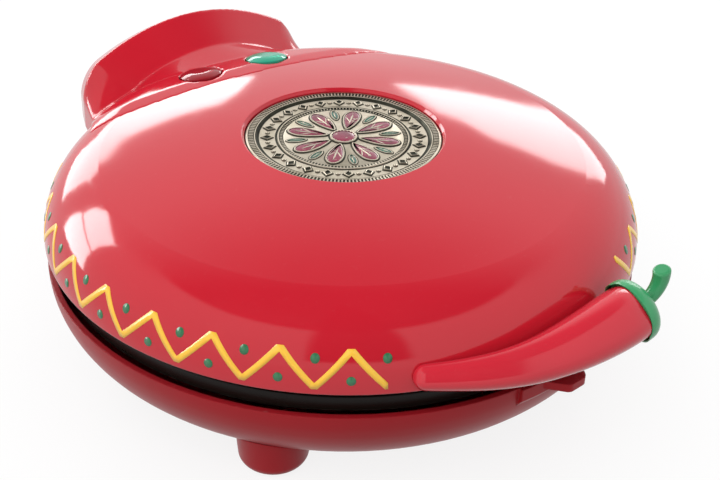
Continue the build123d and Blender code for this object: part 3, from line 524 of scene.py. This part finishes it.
class COOKER_OT_plates(bpy.types.Operator):
    """Finishes the two non-stick cooking plates"""

    bl_idname = "cooker.plates"
    bl_label = "Cooking plates"

    def execute(self, context):
        material, tree, shader = start_material("non_stick_coating", Specular_IOR_Level=0.16)
        skin = group(
            tree,
            "moulded_plastic",
            {
                "Colour": paint("#15110f"),
                "Roughness": 0.24,
                "Drift": 0.2,
                "Rub": 0.14,
                "Grain size": 2400.0,
                "Grain depth": 0.12,
                "Dust": 0.02,
            },
        )
        wear = group(tree, "edge_wear", {"Radius": 0.5 * MM, "Amount": 0.5}).outputs[0]
        worn = blend_colour(tree, wear, skin.outputs["Colour"], paint("#8d8a84"))
        tree.links.new(worn, shader.inputs["Base Color"])
        tree.links.new(wear, shader.inputs["Metallic"])
        join(tree, shader, skin, "Roughness", "Normal")
        dress(material, "lower_plate", "upper_plate")
        return {"FINISHED"}


class COOKER_OT_insides(bpy.types.Operator):
    """Finishes the heaters, controls, leads, screws and pins"""

    bl_idname = "cooker.insides"
    bl_label = "Insides and fixings"

    def execute(self, context):
        zinc = metal("zinc_plate", paint("#b9bcc0"), paint("#7d7462"), 0.28)
        sheath = metal("heater_sheath", paint("#8f8a86"), paint("#5a4a6a"), 0.34, 0.6)
        sheet = metal("aluminium_sheet", paint("#c9ccd0"), paint("#a39f96"), 0.3)
        ceramic = plastic("ceramic", paint("#e9e4d6"), 0.4, depth=0.05, dust=0.1)
        sleeve = plastic("glass_sleeve", paint("#d8cfb8"), 0.7, size=2600.0, depth=0.5)
        rubber = plastic("rubber", paint("#17181a"), 0.6, depth=0.25, dust=0.2)
        screws = [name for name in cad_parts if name.endswith("screws")]
        dress(zinc, *screws, "hinge_pin_left", "hinge_pin_right")
        dress(sheath, "lower_heating_element", "upper_heating_element")
        dress(sheet, "lower_heat_shield", "upper_heat_shield")
        dress(sheet, "lower_thermostat", "upper_thermostat", "thermal_fuse")
        dress(ceramic, "base_terminal_block", "lid_terminal_block")
        dress(sleeve, "base_lead", "lid_lead")
        dress(rubber, "foot_pads", "cord_inlet")
        return {"FINISHED"}


class COOKER_OT_lenses(bpy.types.Operator):
    """Finishes the two signal lenses and their lamps"""

    bl_idname = "cooker.lenses"
    bl_label = "Signal lenses"

    def execute(self, context):
        for name, code in (("signal_lens_red", "#b01a2a"), ("signal_lens_green", "#2cbf9c")):
            lens = plastic(
                name,
                paint(code),
                0.06,
                depth=0.01,
                dust=0.0,
                Transmission_Weight=0.4,
                Specular_IOR_Level=0.35,
                IOR=1.49,
            )
            dress(lens, name)
        glow = plastic(
            "lamp_glass",
            paint("#ffd9b0"),
            0.1,
            Emission_Color=paint("#ffb070"),
            Emission_Strength=0.6,
        )
        dress(glow, "pilot_lamps")
        return {"FINISHED"}


class COOKER_OT_band(bpy.types.Operator):
    """Prints the zigzag line and the dots round the lid's shoulder"""

    bl_idname = "cooker.band"
    bl_label = "Printed band"

    def execute(self, context):
        band = context.scene.cooker_band
        half_pitch = math.tau / STROKES_ROUND * LID_RADIUS
        rise = band.peak_height - band.valley_height
        form = bmesh.new()
        stroke = bmesh.ops.create_grid(form, x_segments=10, y_segments=1, size=0.5)["verts"]
        slant = math.atan2(rise, half_pitch)
        leg_length = math.hypot(half_pitch, rise)
        bmesh.ops.scale(form, vec=(leg_length * 1.5, band.stroke, 1), verts=stroke)
        bmesh.ops.rotate(form, matrix=Matrix.Rotation(-slant, 3, "Z"), verts=stroke)
        middle = Vector((half_pitch / 2, (band.peak_height + band.valley_height) / 2, 0))
        bmesh.ops.translate(form, vec=middle, verts=stroke)
        high = band.peak_height + band.corner_reach
        low = band.valley_height - 2 * band.corner_reach
        cuts = (
            ((0, 0, 0), (-1, 0, 0)),
            ((half_pitch, 0, 0), (1, 0, 0)),
            ((0, high, 0), (0, 1, 0)),
            ((0, low, 0), (0, -1, 0)),
        )
        for place, outward in cuts:
            bmesh.ops.bisect_plane(
                form,
                geom=form.verts[:] + form.edges[:] + form.faces[:],
                plane_co=place,
                plane_no=outward,
                clear_outer=True,
            )
        first = form.verts[:] + form.edges[:] + form.faces[:]
        for leg in range(1, band.legs):
            copied = bmesh.ops.duplicate(form, geom=first)["geom"]
            corners = [g for g in copied if isinstance(g, bmesh.types.BMVert)]
            if leg % 2:
                bmesh.ops.scale(form, vec=(-1, 1, 1), verts=corners)
                bmesh.ops.translate(form, vec=(half_pitch, 0, 0), verts=corners)
            bmesh.ops.translate(form, vec=(leg * half_pitch, 0, 0), verts=corners)
        bmesh.ops.remove_doubles(form, verts=form.verts, dist=0.01 * MM)
        bmesh.ops.recalc_face_normals(form, faces=form.faces)
        self.print_on_lid("printed_line", form, "yellow_ink", band.line_colour, band.first_peak)

        dots = bmesh.new()
        for leg in range(band.legs + 1):
            height = band.low_dot_height if leg % 2 == 0 else band.high_dot_height
            disc = bmesh.ops.create_circle(dots, cap_ends=True, segments=24, radius=band.dot_radius)
            bmesh.ops.translate(dots, vec=(leg * half_pitch, height, 0), verts=disc["verts"])
        self.print_on_lid("printed_dots", dots, "green_ink", band.dot_colour, band.first_peak)
        return {"FINISHED"}

    def print_on_lid(self, name, form, ink_name, colour, start):
        """Wraps a flat drawing round the lid's shoulder and gives it the thickness of ink."""
        for vert in form.verts:
            vert.co = on_dome(start + vert.co.x / LID_RADIUS, vert.co.y, INK_LIFT)
        ink = plastic(ink_name, colour, 0.3, depth=0.05, dust=0.0, Coat_Weight=0.3)
        printed = add_piece(name, form, "lid", [ink])
        thick = printed.modifiers.new("thickness", "SOLIDIFY")
        thick.thickness = INK_THICKNESS
        thick.offset = -1


def lathe(form, profile, segments=128):
    """Spins a profile of (radius, height) points in millimetres round the upright axis."""
    corners = [form.verts.new(Vector((radius, 0, height)) * MM) for radius, height in profile]
    steps = [form.edges.new(pair) for pair in zip(corners, corners[1:])]
    bmesh.ops.spin(
        form,
        geom=corners + steps,
        cent=(0, 0, 0),
        axis=(0, 0, 1),
        angle=math.tau,
        steps=segments,
        use_merge=True,
    )
    bmesh.ops.remove_doubles(form, verts=form.verts, dist=WELD)
    bmesh.ops.recalc_face_normals(form, faces=form.faces)


def between(faces, inner, outer):
    """The faces whose middles lie between two radii in millimetres."""
    return [f for f in faces if inner * MM < f.calc_center_median().xy.length < outer * MM]


def repeat_round(form, faces, count):
    """Copies a shape round the upright axis until there are count of it."""
    geometry = list({*faces, *(e for f in faces for e in f.edges), *(v for f in faces for v in f.verts)})
    step = math.tau / count
    bmesh.ops.spin(
        form,
        geom=geometry,
        cent=(0, 0, 0),
        axis=(0, 0, 1),
        angle=step * (count - 1),
        steps=count - 1,
        use_duplicate=True,
    )


def outline(form, points, inner, outer, half_width, waist=0.28, point=0.0, floor=-1.2):
    """A flat leaf-shaped face that points away from the axis, in millimetres."""
    ring = bmesh.ops.create_circle(form, cap_ends=True, segments=points, radius=1)["verts"]
    for corner in ring:
        across, along = corner.co.x, corner.co.y
        narrow = 1 - point * max(0.0, (along - 0.55) / 0.45) ** 2
        corner.co.x = across * half_width * (1 - waist + waist * along) * narrow * MM
        corner.co.y = (inner + (outer - inner) * (along + 1) / 2) * MM
        corner.co.z = floor * MM
    return ring[0].link_faces[0]


def corners_of(faces):
    """Every corner of some faces, once."""
    return list({v for f in faces for v in f.verts})


def stamp(form, face, rise, steps):
    """Raises an outline, then insets its top in steps of (inset, lift, material); gives all its faces."""
    known = set(form.faces)
    raised = bmesh.ops.extrude_face_region(form, geom=[face])["geom"]
    top = next(g for g in raised if isinstance(g, bmesh.types.BMFace))
    bmesh.ops.translate(form, vec=(0, 0, rise * MM), verts=top.verts)
    for added in set(form.faces) - known:
        added.material_index = steps[0][2]
    if top.normal.z < 0:
        top.normal_flip()
    for inset, lift, material in steps:
        ring = bmesh.ops.inset_region(
            form, faces=[top], thickness=inset * MM, depth=lift * MM, use_even_offset=False
        )["faces"]
        for added in (*ring, top):
            added.material_index = material
    return [face, *(f for f in form.faces if f not in known)]


def teeth(form, count, inner, outer, width, low, high):
    """A ring of small radial bars, narrower at their crest, in millimetres."""
    bar = bmesh.ops.create_cube(form, size=1)["verts"]
    middle = Vector((0, (inner + outer) / 2, (low + high) / 2))
    bmesh.ops.scale(form, vec=Vector((width, outer - inner, high - low)) * MM, verts=bar)
    bmesh.ops.translate(form, vec=middle * MM, verts=bar)
    crest = [v for v in bar if v.co.z > (low + high) / 2 * MM]
    about = Matrix.Translation((0, -(inner + outer) / 2 * MM, 0))
    bmesh.ops.scale(form, vec=(0.5, 0.94, 1), verts=crest, space=about)
    repeat_round(form, {f for v in bar for f in v.link_faces}, count)


# The medallion's section in millimetres, from the middle of its back round to that of its face,
# with heights counted from its highest ring, and the bands of it that a dark film fills
MEDALLION_PROFILE = (
    (0, -2.38), (41.9, -2.38), (42.4, -1.9), (42.4, -0.65), (42.2, -0.25),
    (41.8, -0.04), (41.3, 0), (41.1, -0.28), (38.7, -0.42), (38.5, -0.1),
    (38.1, -0.1), (37.6, -0.7), (37.2, -1.18), (36.7, -1.18), (36.4, -0.94),
    (29.6, -0.94), (29.3, -1.2), (28.7, -1.2), (28.5, -0.65), (27.9, -0.65),
    (27.7, -1.1), (26.3, -1.1), (26.0, -0.98), (0, -0.88),
)
MEDALLION_GROOVES = ((38.6, 41.2), (36.5, 37.9), (28.6, 29.5), (26.1, 27.8))
GROOVE_FLOOR = -2 * MM
LOZENGES = 24


class COOKER_OT_medallion(bpy.types.Operator):
    """Models the pewter medallion with its milled rim, ring of lozenges and enamelled rosette"""

    bl_idname = "cooker.medallion"
    bl_label = "Medallion"

    def execute(self, context):
        design = context.scene.cooker_medallion
        pewter, patina, petal, leaf = range(4)
        form = bmesh.new()
        lathe(form, MEDALLION_PROFILE, segments=168)
        for inner, outer in MEDALLION_GROOVES:
            for face in between(form.faces, inner, outer):
                if face.calc_center_median().z > GROOVE_FLOOR:
                    face.material_index = patina
        teeth(form, design.teeth, inner=38.75, outer=41.15, width=0.95, low=-0.5, high=-0.04)
        teeth(form, 120, inner=26.3, outer=27.6, width=0.8, low=-1.2, high=-0.8)

        lozenge = outline(form, 4, 29.9, 36.1, 2.7, waist=0)
        steps = (
            (0.02, 0.1, patina),
            (0.62, 0, patina),
            (0.08, 0.3, pewter),
            (0.5, 0.16, pewter),
            (0.45, -0.3, patina),
        )
        repeat_round(form, stamp(form, lozenge, 0.3, steps), LOZENGES)
        pellet = outline(form, 12, 31.9, 34.1, 1.1, waist=0)
        steps = ((0.02, 0.06, patina), (0.22, 0, patina), (0.1, 0.3, pewter), (0.3, 0.15, pewter))
        shape = stamp(form, pellet, 0.3, steps)
        turn = Matrix.Rotation(math.pi / LOZENGES, 3, "Z")
        bmesh.ops.rotate(form, matrix=turn, verts=corners_of(shape))
        repeat_round(form, shape, LOZENGES)

        border = (
            (0.02, 0.12, patina),
            (0.5, 0, patina),
            (0.06, 0.32, pewter),
            (0.55, 0.04, pewter),
            (0.1, -0.3, petal),
        )
        shape = outline(form, 32, 6.2, 25.4, 5.6, waist=0.26, point=0.12)
        flower = stamp(form, shape, 0.3, (*border, (0.35, 0.14, petal), (0.2, 0.05, petal)))
        vein = outline(form, 12, 11.2, 21.5, 0.42, waist=0.2, point=0.5, floor=-1.0)
        flower += stamp(form, vein, 0.5, ((0.12, 0.12, pewter),))
        for side in (-1, 1):
            branch = outline(form, 10, 0, 5.6, 0.34, waist=0.2, point=0.5, floor=-1.0)
            barb = stamp(form, branch, 0.44, ((0.1, 0.1, pewter),))
            corners = corners_of(barb)
            turn = Matrix.Rotation(side * math.radians(32), 3, "Z")
            bmesh.ops.rotate(form, matrix=turn, verts=corners)
            bmesh.ops.translate(form, vec=(0, 14 * MM, 0), verts=corners)
            flower += barb
        repeat_round(form, flower, design.petals)

        border = (
            (0.02, 0.1, patina),
            (0.4, 0, patina),
            (0.06, 0.2, pewter),
            (0.36, 0.02, pewter),
            (0.08, -0.2, leaf),
        )
        shape = outline(form, 20, 15.5, 25.6, 2.3, waist=0.05, point=0.1)
        foliage = stamp(form, shape, 0.24, (*border, (0.5, 0.1, leaf)))
        vein = outline(form, 10, 17.5, 23.8, 0.25, waist=0.2, point=0.5, floor=-1.1)
        foliage += stamp(form, vein, 0.4, ((0.08, 0.08, pewter),))
        turn = Matrix.Rotation(math.pi / design.petals, 3, "Z")
        bmesh.ops.rotate(form, matrix=turn, verts=corners_of(foliage))
        repeat_round(form, foliage, design.petals)

        boss = outline(form, 32, -6.6, 6.6, 6.6, waist=0)
        steps = (
            (0.02, 0.16, patina),
            (0.6, 0, patina),
            (0.1, 0.4, pewter),
            (0.7, 0.1, pewter),
            (0.12, -0.35, petal),
            (1.2, 0.3, petal),
            (1.2, 0.16, petal),
        )
        stamp(form, boss, 0.3, steps)
        pearl = outline(form, 10, 4.75, 5.65, 0.45, waist=0, floor=-0.7)
        shape = stamp(form, pearl, 0.3, ((0.12, 0.12, pewter), (0.12, 0.06, pewter)))
        repeat_round(form, shape, 20)
        bmesh.ops.translate(form, vec=(0, 0, MEDALLION_HIGH.z - 0.02 * MM), verts=form.verts)
        bmesh.ops.recalc_face_normals(form, faces=form.faces)

        materials = (
            self.cast_pewter(design),
            metal("medallion_patina", design.patina, paint("#1f211d"), 0.5, 0.6, 2200.0, 0.2),
            self.enamel("petal_enamel", design.petal, design),
            self.enamel("leaf_enamel", design.leaf, design),
        )
        add_piece(
            "medallion_relief",
            form,
            "lid",
            materials,
            replaces=("medallion",),
            sharp=32,
        )
        return {"FINISHED"}

    def cast_pewter(self, design):
        """Cast pewter whose hollows keep a dark film."""
        material, tree, shader = start_material("cast_pewter", Metallic=1.0)
        skin = group(
            tree,
            "bare_metal",
            {
                "Colour": design.metal,
                "Stain": paint("#a0967e"),
                "Stain amount": 0.45,
                "Roughness": 0.3,
                "Grain size": 1500.0,
                "Grain depth": 0.12,
            },
        )
        film = rescale(tree, hollows(tree, 1.4 * MM), 0.9, 0.45)
        filmed = blend_colour(tree, film, skin.outputs["Colour"], design.patina)
        tree.links.new(filmed, shader.inputs["Base Color"])
        join(tree, shader, skin, "Roughness", "Normal")
        return material

    def enamel(self, name, colour, design):
        """Thin enamel that is worn through to the pewter in places."""
        material, tree, shader = start_material(name, Coat_Weight=0.25)
        worn = rescale(tree, noise(tree, 330, 5, distortion=0.8), 0.6, 0.72)
        shade = rescale(tree, noise(tree, 160, 3), 0.3, 0.7)
        deep = blend_colour(tree, 0.55, colour, ENAMEL_SHADE, "MULTIPLY")
        glaze = blend_colour(tree, shade, deep, colour)
        film = rescale(tree, hollows(tree, 1.0 * MM), 0.85, 0.4)
        dirty = blend_colour(tree, film, glaze, design.patina)
        tree.links.new(blend_colour(tree, worn, dirty, design.metal), shader.inputs["Base Color"])
        tree.links.new(worn, shader.inputs["Metallic"])
        tree.links.new(calc(tree, "MULTIPLY_ADD", worn, 0.2, 0.22), shader.inputs["Roughness"])
        return material


def sweep(form, ring, frames):
    """Extrudes a ring of corners from one frame to the next and gives the last ring's edges."""
    corners = set(ring)
    edges = [e for e in form.edges if corners.issuperset(e.verts)]
    for before, after in zip(frames, frames[1:]):
        made = bmesh.ops.extrude_edge_only(form, edges=edges)["geom"]
        corners = {g for g in made if isinstance(g, bmesh.types.BMVert)}
        edges = [g for g in made if isinstance(g, bmesh.types.BMEdge) and corners.issuperset(g.verts)]
        bmesh.ops.transform(form, matrix=after @ before.inverted(), verts=list(corners))
    return edges


def smooth_between(stations, share):
    """A point of the smooth curve through evenly spaced stations, share running from 0 to 1."""
    place = share * (len(stations) - 1)
    index = min(int(place), len(stations) - 2)
    t = place - index
    a, b, c, d = (stations[min(max(index + k, 0), len(stations) - 1)] for k in (-1, 0, 1, 2))
    return [
        0.5 * (2 * q + (r - p) * t + (2 * p - 5 * q + 4 * r - s) * t**2 + (3 * q - p - 3 * r + s) * t**3)
        for p, q, r, s in zip(a, b, c, d)
    ]


# The pepper's middle line: azimuth, millimetres beyond the lid, over its edge and half thickness
PEPPER_STATIONS = (
    (-19.8, 0.1, 6.1, 5.5),
    (-15.1, 2.3, 6.4, 6.3),
    (-10.4, 5.0, 7.0, 7.3),
    (-5.7, 7.5, 7.9, 8.4),
    (-1.0, 9.4, 9.0, 9.6),
    (3.7, 10.8, 10.2, 10.8),
    (8.4, 11.9, 11.2, 11.8),
    (13.1, 13.0, 12.0, 12.5),
    (17.8, 14.1, 12.2, 12.6),
)
# Its corners round a section, its lobes and their turn, the sections of its tip and of the rest,
# and how far it stays off the lid
PEPPER_CORNERS = 72
PEPPER_LOBES = 4
LOBE_TURN = math.radians(20)
TIP_SECTIONS = 10
PEPPER_SECTIONS = 48
PEPPER_CLEARANCE = 0.12 * MM


def pepper_middle(share):
    """A point of the pepper's middle line and its half thickness, in metres."""
    azimuth, beyond, height, half = smooth_between(PEPPER_STATIONS, share)
    turn = math.radians(azimuth)
    reach = LID_RADIUS + beyond * MM
    return Vector((reach * math.sin(turn), -reach * math.cos(turn), LID_EDGE_Z + height * MM)), half * MM


def pepper_frame(share, shrink=1.0, ahead=0.0):
    """The frame of one of the pepper's sections."""
    middle, half = pepper_middle(share)
    step = 0.01
    before, after = pepper_middle(max(share - step, 0))[0], pepper_middle(min(share + step, 1))[0]
    way = (after - before).normalized()
    out = way.cross(UP).normalized()
    lean = max(0.0, 8 * share - 7)
    way = (way + (out * 0.25 + Vector((0, 0, 0.4))) * lean).normalized()
    out = way.cross(UP).normalized()
    up = out.cross(way).normalized()
    turned = Matrix((out, up, way)).transposed().to_4x4()
    return Matrix.Translation(middle + way * ahead * half) @ turned @ Matrix.Scale(half * shrink, 4)


class COOKER_OT_pepper(bpy.types.Operator):
    """Models the furrowed pepper of the handle and finishes its calyx and stalk"""

    bl_idname = "cooker.pepper"
    bl_label = "Pepper handle"

    def execute(self, context):
        finish = context.scene.cooker_pepper
        form = bmesh.new()
        ring = bmesh.ops.create_circle(form, segments=PEPPER_CORNERS, radius=1)["verts"]
        for corner in ring:
            angle = math.atan2(corner.co.y, corner.co.x)
            lobes = 0.5 - 0.5 * math.cos(PEPPER_LOBES * angle + LOBE_TURN)
            corner.co *= 1 - finish.lobe_depth * lobes
        turns = [math.radians(90 * k / TIP_SECTIONS) for k in range(TIP_SECTIONS - 1, 0, -1)]
        frames = [pepper_frame(0, math.cos(turn), -math.sin(turn) * 0.9) for turn in turns]
        frames += [pepper_frame(k / PEPPER_SECTIONS) for k in range(PEPPER_SECTIONS + 1)]
        frames += [pepper_frame(1, 0.9, 0.04), pepper_frame(1, 0.6, 0.06)]
        bmesh.ops.transform(form, matrix=frames[0], verts=ring)
        first = form.edges[:]
        last = sweep(form, ring, frames)
        bmesh.ops.holes_fill(form, edges=[*first, *last])
        for vert in form.verts:
            height = max(vert.co.z - LID_EDGE_Z, 0)
            reach = SHOULDER_CENTRE + math.sqrt(SHOULDER_RADIUS**2 - height**2) + PEPPER_CLEARANCE
            if vert.co.xy.length < reach:
                vert.co.xy = vert.co.xy.normalized() * reach
        bmesh.ops.recalc_face_normals(form, faces=form.faces)
        skin = plastic(
            "pepper_skin", finish.skin, 0.13, drift=0.12, depth=0.01, size=700.0, dust=0.01, edge=0
        )
        add_piece(
            "pepper_body",
            form,
            "lid",
            [skin],
            replaces=("pepper_handle",),
            sharp=60,
        )
        green = plastic("calyx_green", finish.green, 0.24, drift=0.3, depth=0.05, size=500.0, edge=0.6)
        dress(green, "pepper_calyx", "pepper_stem")
        return {"FINISHED"}


# The windows as the cooker sees them: how bright beside the others, then each corner's azimuth
# and elevation in degrees
WINDOWS = {
    "window_right": (
        1.0,
        ((112, 8), (142, 13), (139, 17), (137, 20), (131, 24.5), (124, 25.5), (118, 24), (110, 14)),
    ),
    "window_rear": (
        1.05,
        ((153, 9.5), (172, 10), (178, 2), (193, 1), (189, 14), (180, 24.5), (170, 25))
        + ((167, 21), (161, 19), (157, 18), (155, 15)),
    ),
    "window_left_high": (1.7, ((197, 22.2), (183, 35), (194, 37), (209, 37), (218, 19.2))),
    "window_left_low": (1.7, ((197, 21), (200, 11), (203, 1), (223, 1.5), (218, 18))),
}
LAMP_DISTANCE = 5.0
WHITE = (1, 1, 1, 1)

# The floor: half its width in metres, the tone that lights the cooker, the tone that the camera
# sees, and how much of the plain background shows through it
FLOOR_HALF = 6
FLOOR_TONE = (0.27, 0.27, 0.27, 1)
FLOOR_SEEN_TONE = (0.9, 0.9, 0.9, 1)
FLOOR_GLOW = 0.85

# The room that gloss shows, in sines of elevation: where each wall gives way to the ceiling and
# where the gap between them starts; the rear wall takes over along the level direction REARWARD
FRONT_WALL_TOP = (0.755, 0.805)
REAR_WALL_TOP = (0.6, 0.97)
REARWARD = (0.53, 0.85, 0)
REAR_TURNOVER = (-0.1, 0.6)
GAP_FOOT = (0.12, 0.22)

# The camera: its place, the way it looks, its roll and the width of its sensor in millimetres
CAMERA_PLACE = Vector((-300.6, -444.0, 377.8)) * MM
CAMERA_WAY = Vector((0.4871, 0.6957, -0.5279))
CAMERA_ROLL = math.radians(-1.72)
SENSOR_WIDTH = 36


def toward(azimuth, elevation):
    """The direction of an azimuth and an elevation in degrees."""
    turn, climb = math.radians(azimuth), math.radians(elevation)
    level = math.cos(climb)
    return Vector((math.sin(turn) * level, -math.cos(turn) * level, math.sin(climb)))


class COOKER_OT_stage(bpy.types.Operator):
    """Sets the floor, the lamps, the world and the camera"""

    bl_idname = "cooker.stage"
    bl_label = "Stage"

    def execute(self, context):
        light = context.scene.cooker_stage
        self.lay_floor()
        self.light_room(context, light)
        for name, (share, corners) in WINDOWS.items():
            self.hang_window(name, share * light.window_light, corners)
        key = self.lamp("key", -80, 48, 40, 40, light.key_light)
        bounce = self.lamp("warm_bounce", -75, 5, 55, 9, light.bounce_light)
        bounce.data.color = (1.0, 0.42, 0.16)
        for lamp in (key, bounce):
            lamp.visible_glossy = False
        self.aim_camera(context, light)
        context.scene.view_settings.view_transform = "Standard"
        return {"FINISHED"}

    def lay_floor(self):
        """Lays a floor that keeps the cooker's shadow and otherwise shows the background."""
        material, tree, shader = start_material("floor_white", Roughness=0.7)
        camera_ray = put(tree, "ShaderNodeLightPath").outputs["Is Camera Ray"]
        tone = blend_colour(tree, camera_ray, FLOOR_TONE, FLOOR_SEEN_TONE)
        tree.links.new(tone, shader.inputs["Base Color"])
        glow = put(tree, "ShaderNodeEmission", {"Color": WHITE, "Strength": 1.0})
        share = calc(tree, "MULTIPLY", self.seen_rays(tree), FLOOR_GLOW)
        joined = {0: share, 1: shader.outputs[0], 2: glow.outputs[0]}
        mixed = put(tree, "ShaderNodeMixShader", joined)
        output = next(n for n in tree.nodes if n.type == "OUTPUT_MATERIAL")
        tree.links.new(mixed.outputs[0], output.inputs[0])
        form = bmesh.new()
        bmesh.ops.create_grid(form, x_segments=1, y_segments=1, size=FLOOR_HALF)
        floor = build("floor", form, [material])

    def light_room(self, context, light):
        """Sets a world that lights the cooker evenly and shows gloss a room with a dark ceiling."""
        world = bpy.data.worlds.new("studio")
        context.scene.world = world
        world.use_nodes = True
        tree = world.node_tree
        tree.nodes.clear()
        direction = put(tree, "ShaderNodeTexCoord").outputs["Generated"]
        height = put(tree, "ShaderNodeSeparateXYZ", {0: direction}).outputs[2]
        level = rescale(tree, height, 0.0, 0.9, light.horizon, light.zenith)
        room = put(tree, "ShaderNodeBackground", {"Color": WHITE, "Strength": level})
        front_wall = rescale(tree, height, *FRONT_WALL_TOP, 1.0, light.ceiling)
        rear_wall = rescale(tree, height, *REAR_WALL_TOP, 1.0, light.ceiling)
        joined = {0: direction, 1: (1, 1, 0)}
        flat = put(tree, "ShaderNodeVectorMath", joined, operation="MULTIPLY").outputs[0]
        level_way = put(tree, "ShaderNodeVectorMath", {0: flat}, operation="NORMALIZE").outputs[0]
        behind = rescale(tree, dot_product(tree, level_way, REARWARD), *REAR_TURNOVER)
        walls = put(tree, "ShaderNodeMix", {0: behind, 2: front_wall, 3: rear_wall}).outputs[0]
        opening = (math.sin(light.gap_azimuth), -math.cos(light.gap_azimuth), 0)
        outer, inner = math.cos(light.gap_width * 0.6), math.cos(light.gap_width * 0.4)
        inside = rescale(tree, dot_product(tree, level_way, opening), outer, inner)
        gap = calc(tree, "MULTIPLY", inside, rescale(tree, height, *GAP_FOOT))
        seen_level = calc(tree, "MULTIPLY", walls, rescale(tree, gap, 0, 1, 1.0, light.ceiling))
        seen = put(tree, "ShaderNodeBackground", {"Color": WHITE, "Strength": seen_level})
        joined = {0: self.seen_rays(tree), 1: room.outputs[0], 2: seen.outputs[0]}
        mixed = put(tree, "ShaderNodeMixShader", joined)
        tree.links.new(mixed.outputs[0], put(tree, "ShaderNodeOutputWorld").inputs[0])

    def hang_window(self, name, radiance, corners):
        """Hangs a bright pane seen from the cooker under the given corners."""
        glass = bpy.data.materials.new(name + "_glass")
        glass.use_nodes = True
        tree = glass.node_tree
        tree.nodes.clear()
        shine = put(tree, "ShaderNodeEmission", {"Color": WHITE, "Strength": radiance})
        tree.links.new(shine.outputs[0], put(tree, "ShaderNodeOutputMaterial").inputs[0])
        form = bmesh.new()
        ring = [form.verts.new(toward(*corner) * LAMP_DISTANCE) for corner in corners]
        bmesh.ops.contextual_create(form, geom=ring)
        bmesh.ops.translate(form, vec=(0, 0, LID_EDGE_Z), verts=form.verts)
        window = build(name, form, [glass])
        window.visible_diffuse = not name.startswith("window_left")

    def aim_camera(self, context, light):
        """Places and aims the camera."""
        camera = bpy.data.objects.new("camera", bpy.data.cameras.new("camera"))
        context.scene.collection.objects.link(camera)
        context.scene.camera = camera
        camera.data.lens = light.lens
        camera.data.sensor_width = SENSOR_WIDTH
        forward = CAMERA_WAY.normalized()
        level_right = forward.cross(UP).normalized()
        right = Matrix.Rotation(CAMERA_ROLL, 3, forward) @ level_right
        above = right.cross(forward)
        basis = Matrix((right, above, -forward)).transposed()
        camera.matrix_world = Matrix.Translation(CAMERA_PLACE) @ basis.to_4x4()
        camera.data.clip_start = 0.01
        camera.data.clip_end = 20

    def seen_rays(self, tree):
        """1 for the rays that show the background: those of the camera, of gloss and of glass."""
        path = put(tree, "ShaderNodeLightPath").outputs
        seen = calc(tree, "MAXIMUM", path["Is Camera Ray"], path["Is Transmission Ray"])
        return calc(tree, "MAXIMUM", seen, path["Is Glossy Ray"])

    def lamp(self, name, azimuth, elevation, wide, high, radiance):
        """An area lamp seen from the cooker under the given angles."""
        way = toward(azimuth, elevation)
        lamp = bpy.data.lights.new(name, "AREA")
        lamp.shape = "RECTANGLE"
        lamp.size = 2 * LAMP_DISTANCE * math.tan(math.radians(wide / 2))
        lamp.size_y = 2 * LAMP_DISTANCE * math.tan(math.radians(high / 2))
        lamp.energy = radiance * math.pi * lamp.size * lamp.size_y
        placed = bpy.data.objects.new(name, lamp)
        bpy.context.scene.collection.objects.link(placed)
        placed.location = way * LAMP_DISTANCE + Vector((0, 0, LID_EDGE_Z))
        placed.rotation_mode = "QUATERNION"
        placed.rotation_quaternion = way.to_track_quat("Z", "Y")
        return placed


class COOKER_PT_panel(bpy.types.Panel):
    """Lists the steps that finish the cooker"""

    bl_label = "Quesadilla maker"
    bl_idname = "COOKER_PT_panel"
    bl_space_type = "VIEW_3D"
    bl_region_type = "UI"
    bl_category = "Cooker"

    def draw(self, context):
        for step in STEPS:
            self.layout.operator(step.bl_idname)


STEPS = (
    COOKER_OT_stage,
    COOKER_OT_housings,
    COOKER_OT_plates,
    COOKER_OT_insides,
    COOKER_OT_lenses,
    COOKER_OT_band,
    COOKER_OT_medallion,
    COOKER_OT_pepper,
)
SETTINGS = {
    "cooker_housing": HousingFinish,
    "cooker_band": PrintedBand,
    "cooker_medallion": MedallionDesign,
    "cooker_pepper": PepperFinish,
    "cooker_stage": StageLight,
}


def register():
    """Registers the settings, the steps and the panel."""
    for name, settings in SETTINGS.items():
        bpy.utils.register_class(settings)
        setattr(bpy.types.Scene, name, PointerProperty(type=settings))
    for step in (*STEPS, COOKER_PT_panel):
        bpy.utils.register_class(step)


def unregister():
    """Takes them away again."""
    for step in reversed((*STEPS, COOKER_PT_panel)):
        bpy.utils.unregister_class(step)
    for name, settings in reversed(SETTINGS.items()):
        delattr(bpy.types.Scene, name)
        bpy.utils.unregister_class(settings)


def main():
    """Finishes the whole cooker."""
    register()
    for step in STEPS:
        area, name = step.bl_idname.split(".")
        getattr(getattr(bpy.ops, area), name)()


if __name__ == "__main__":
    main()
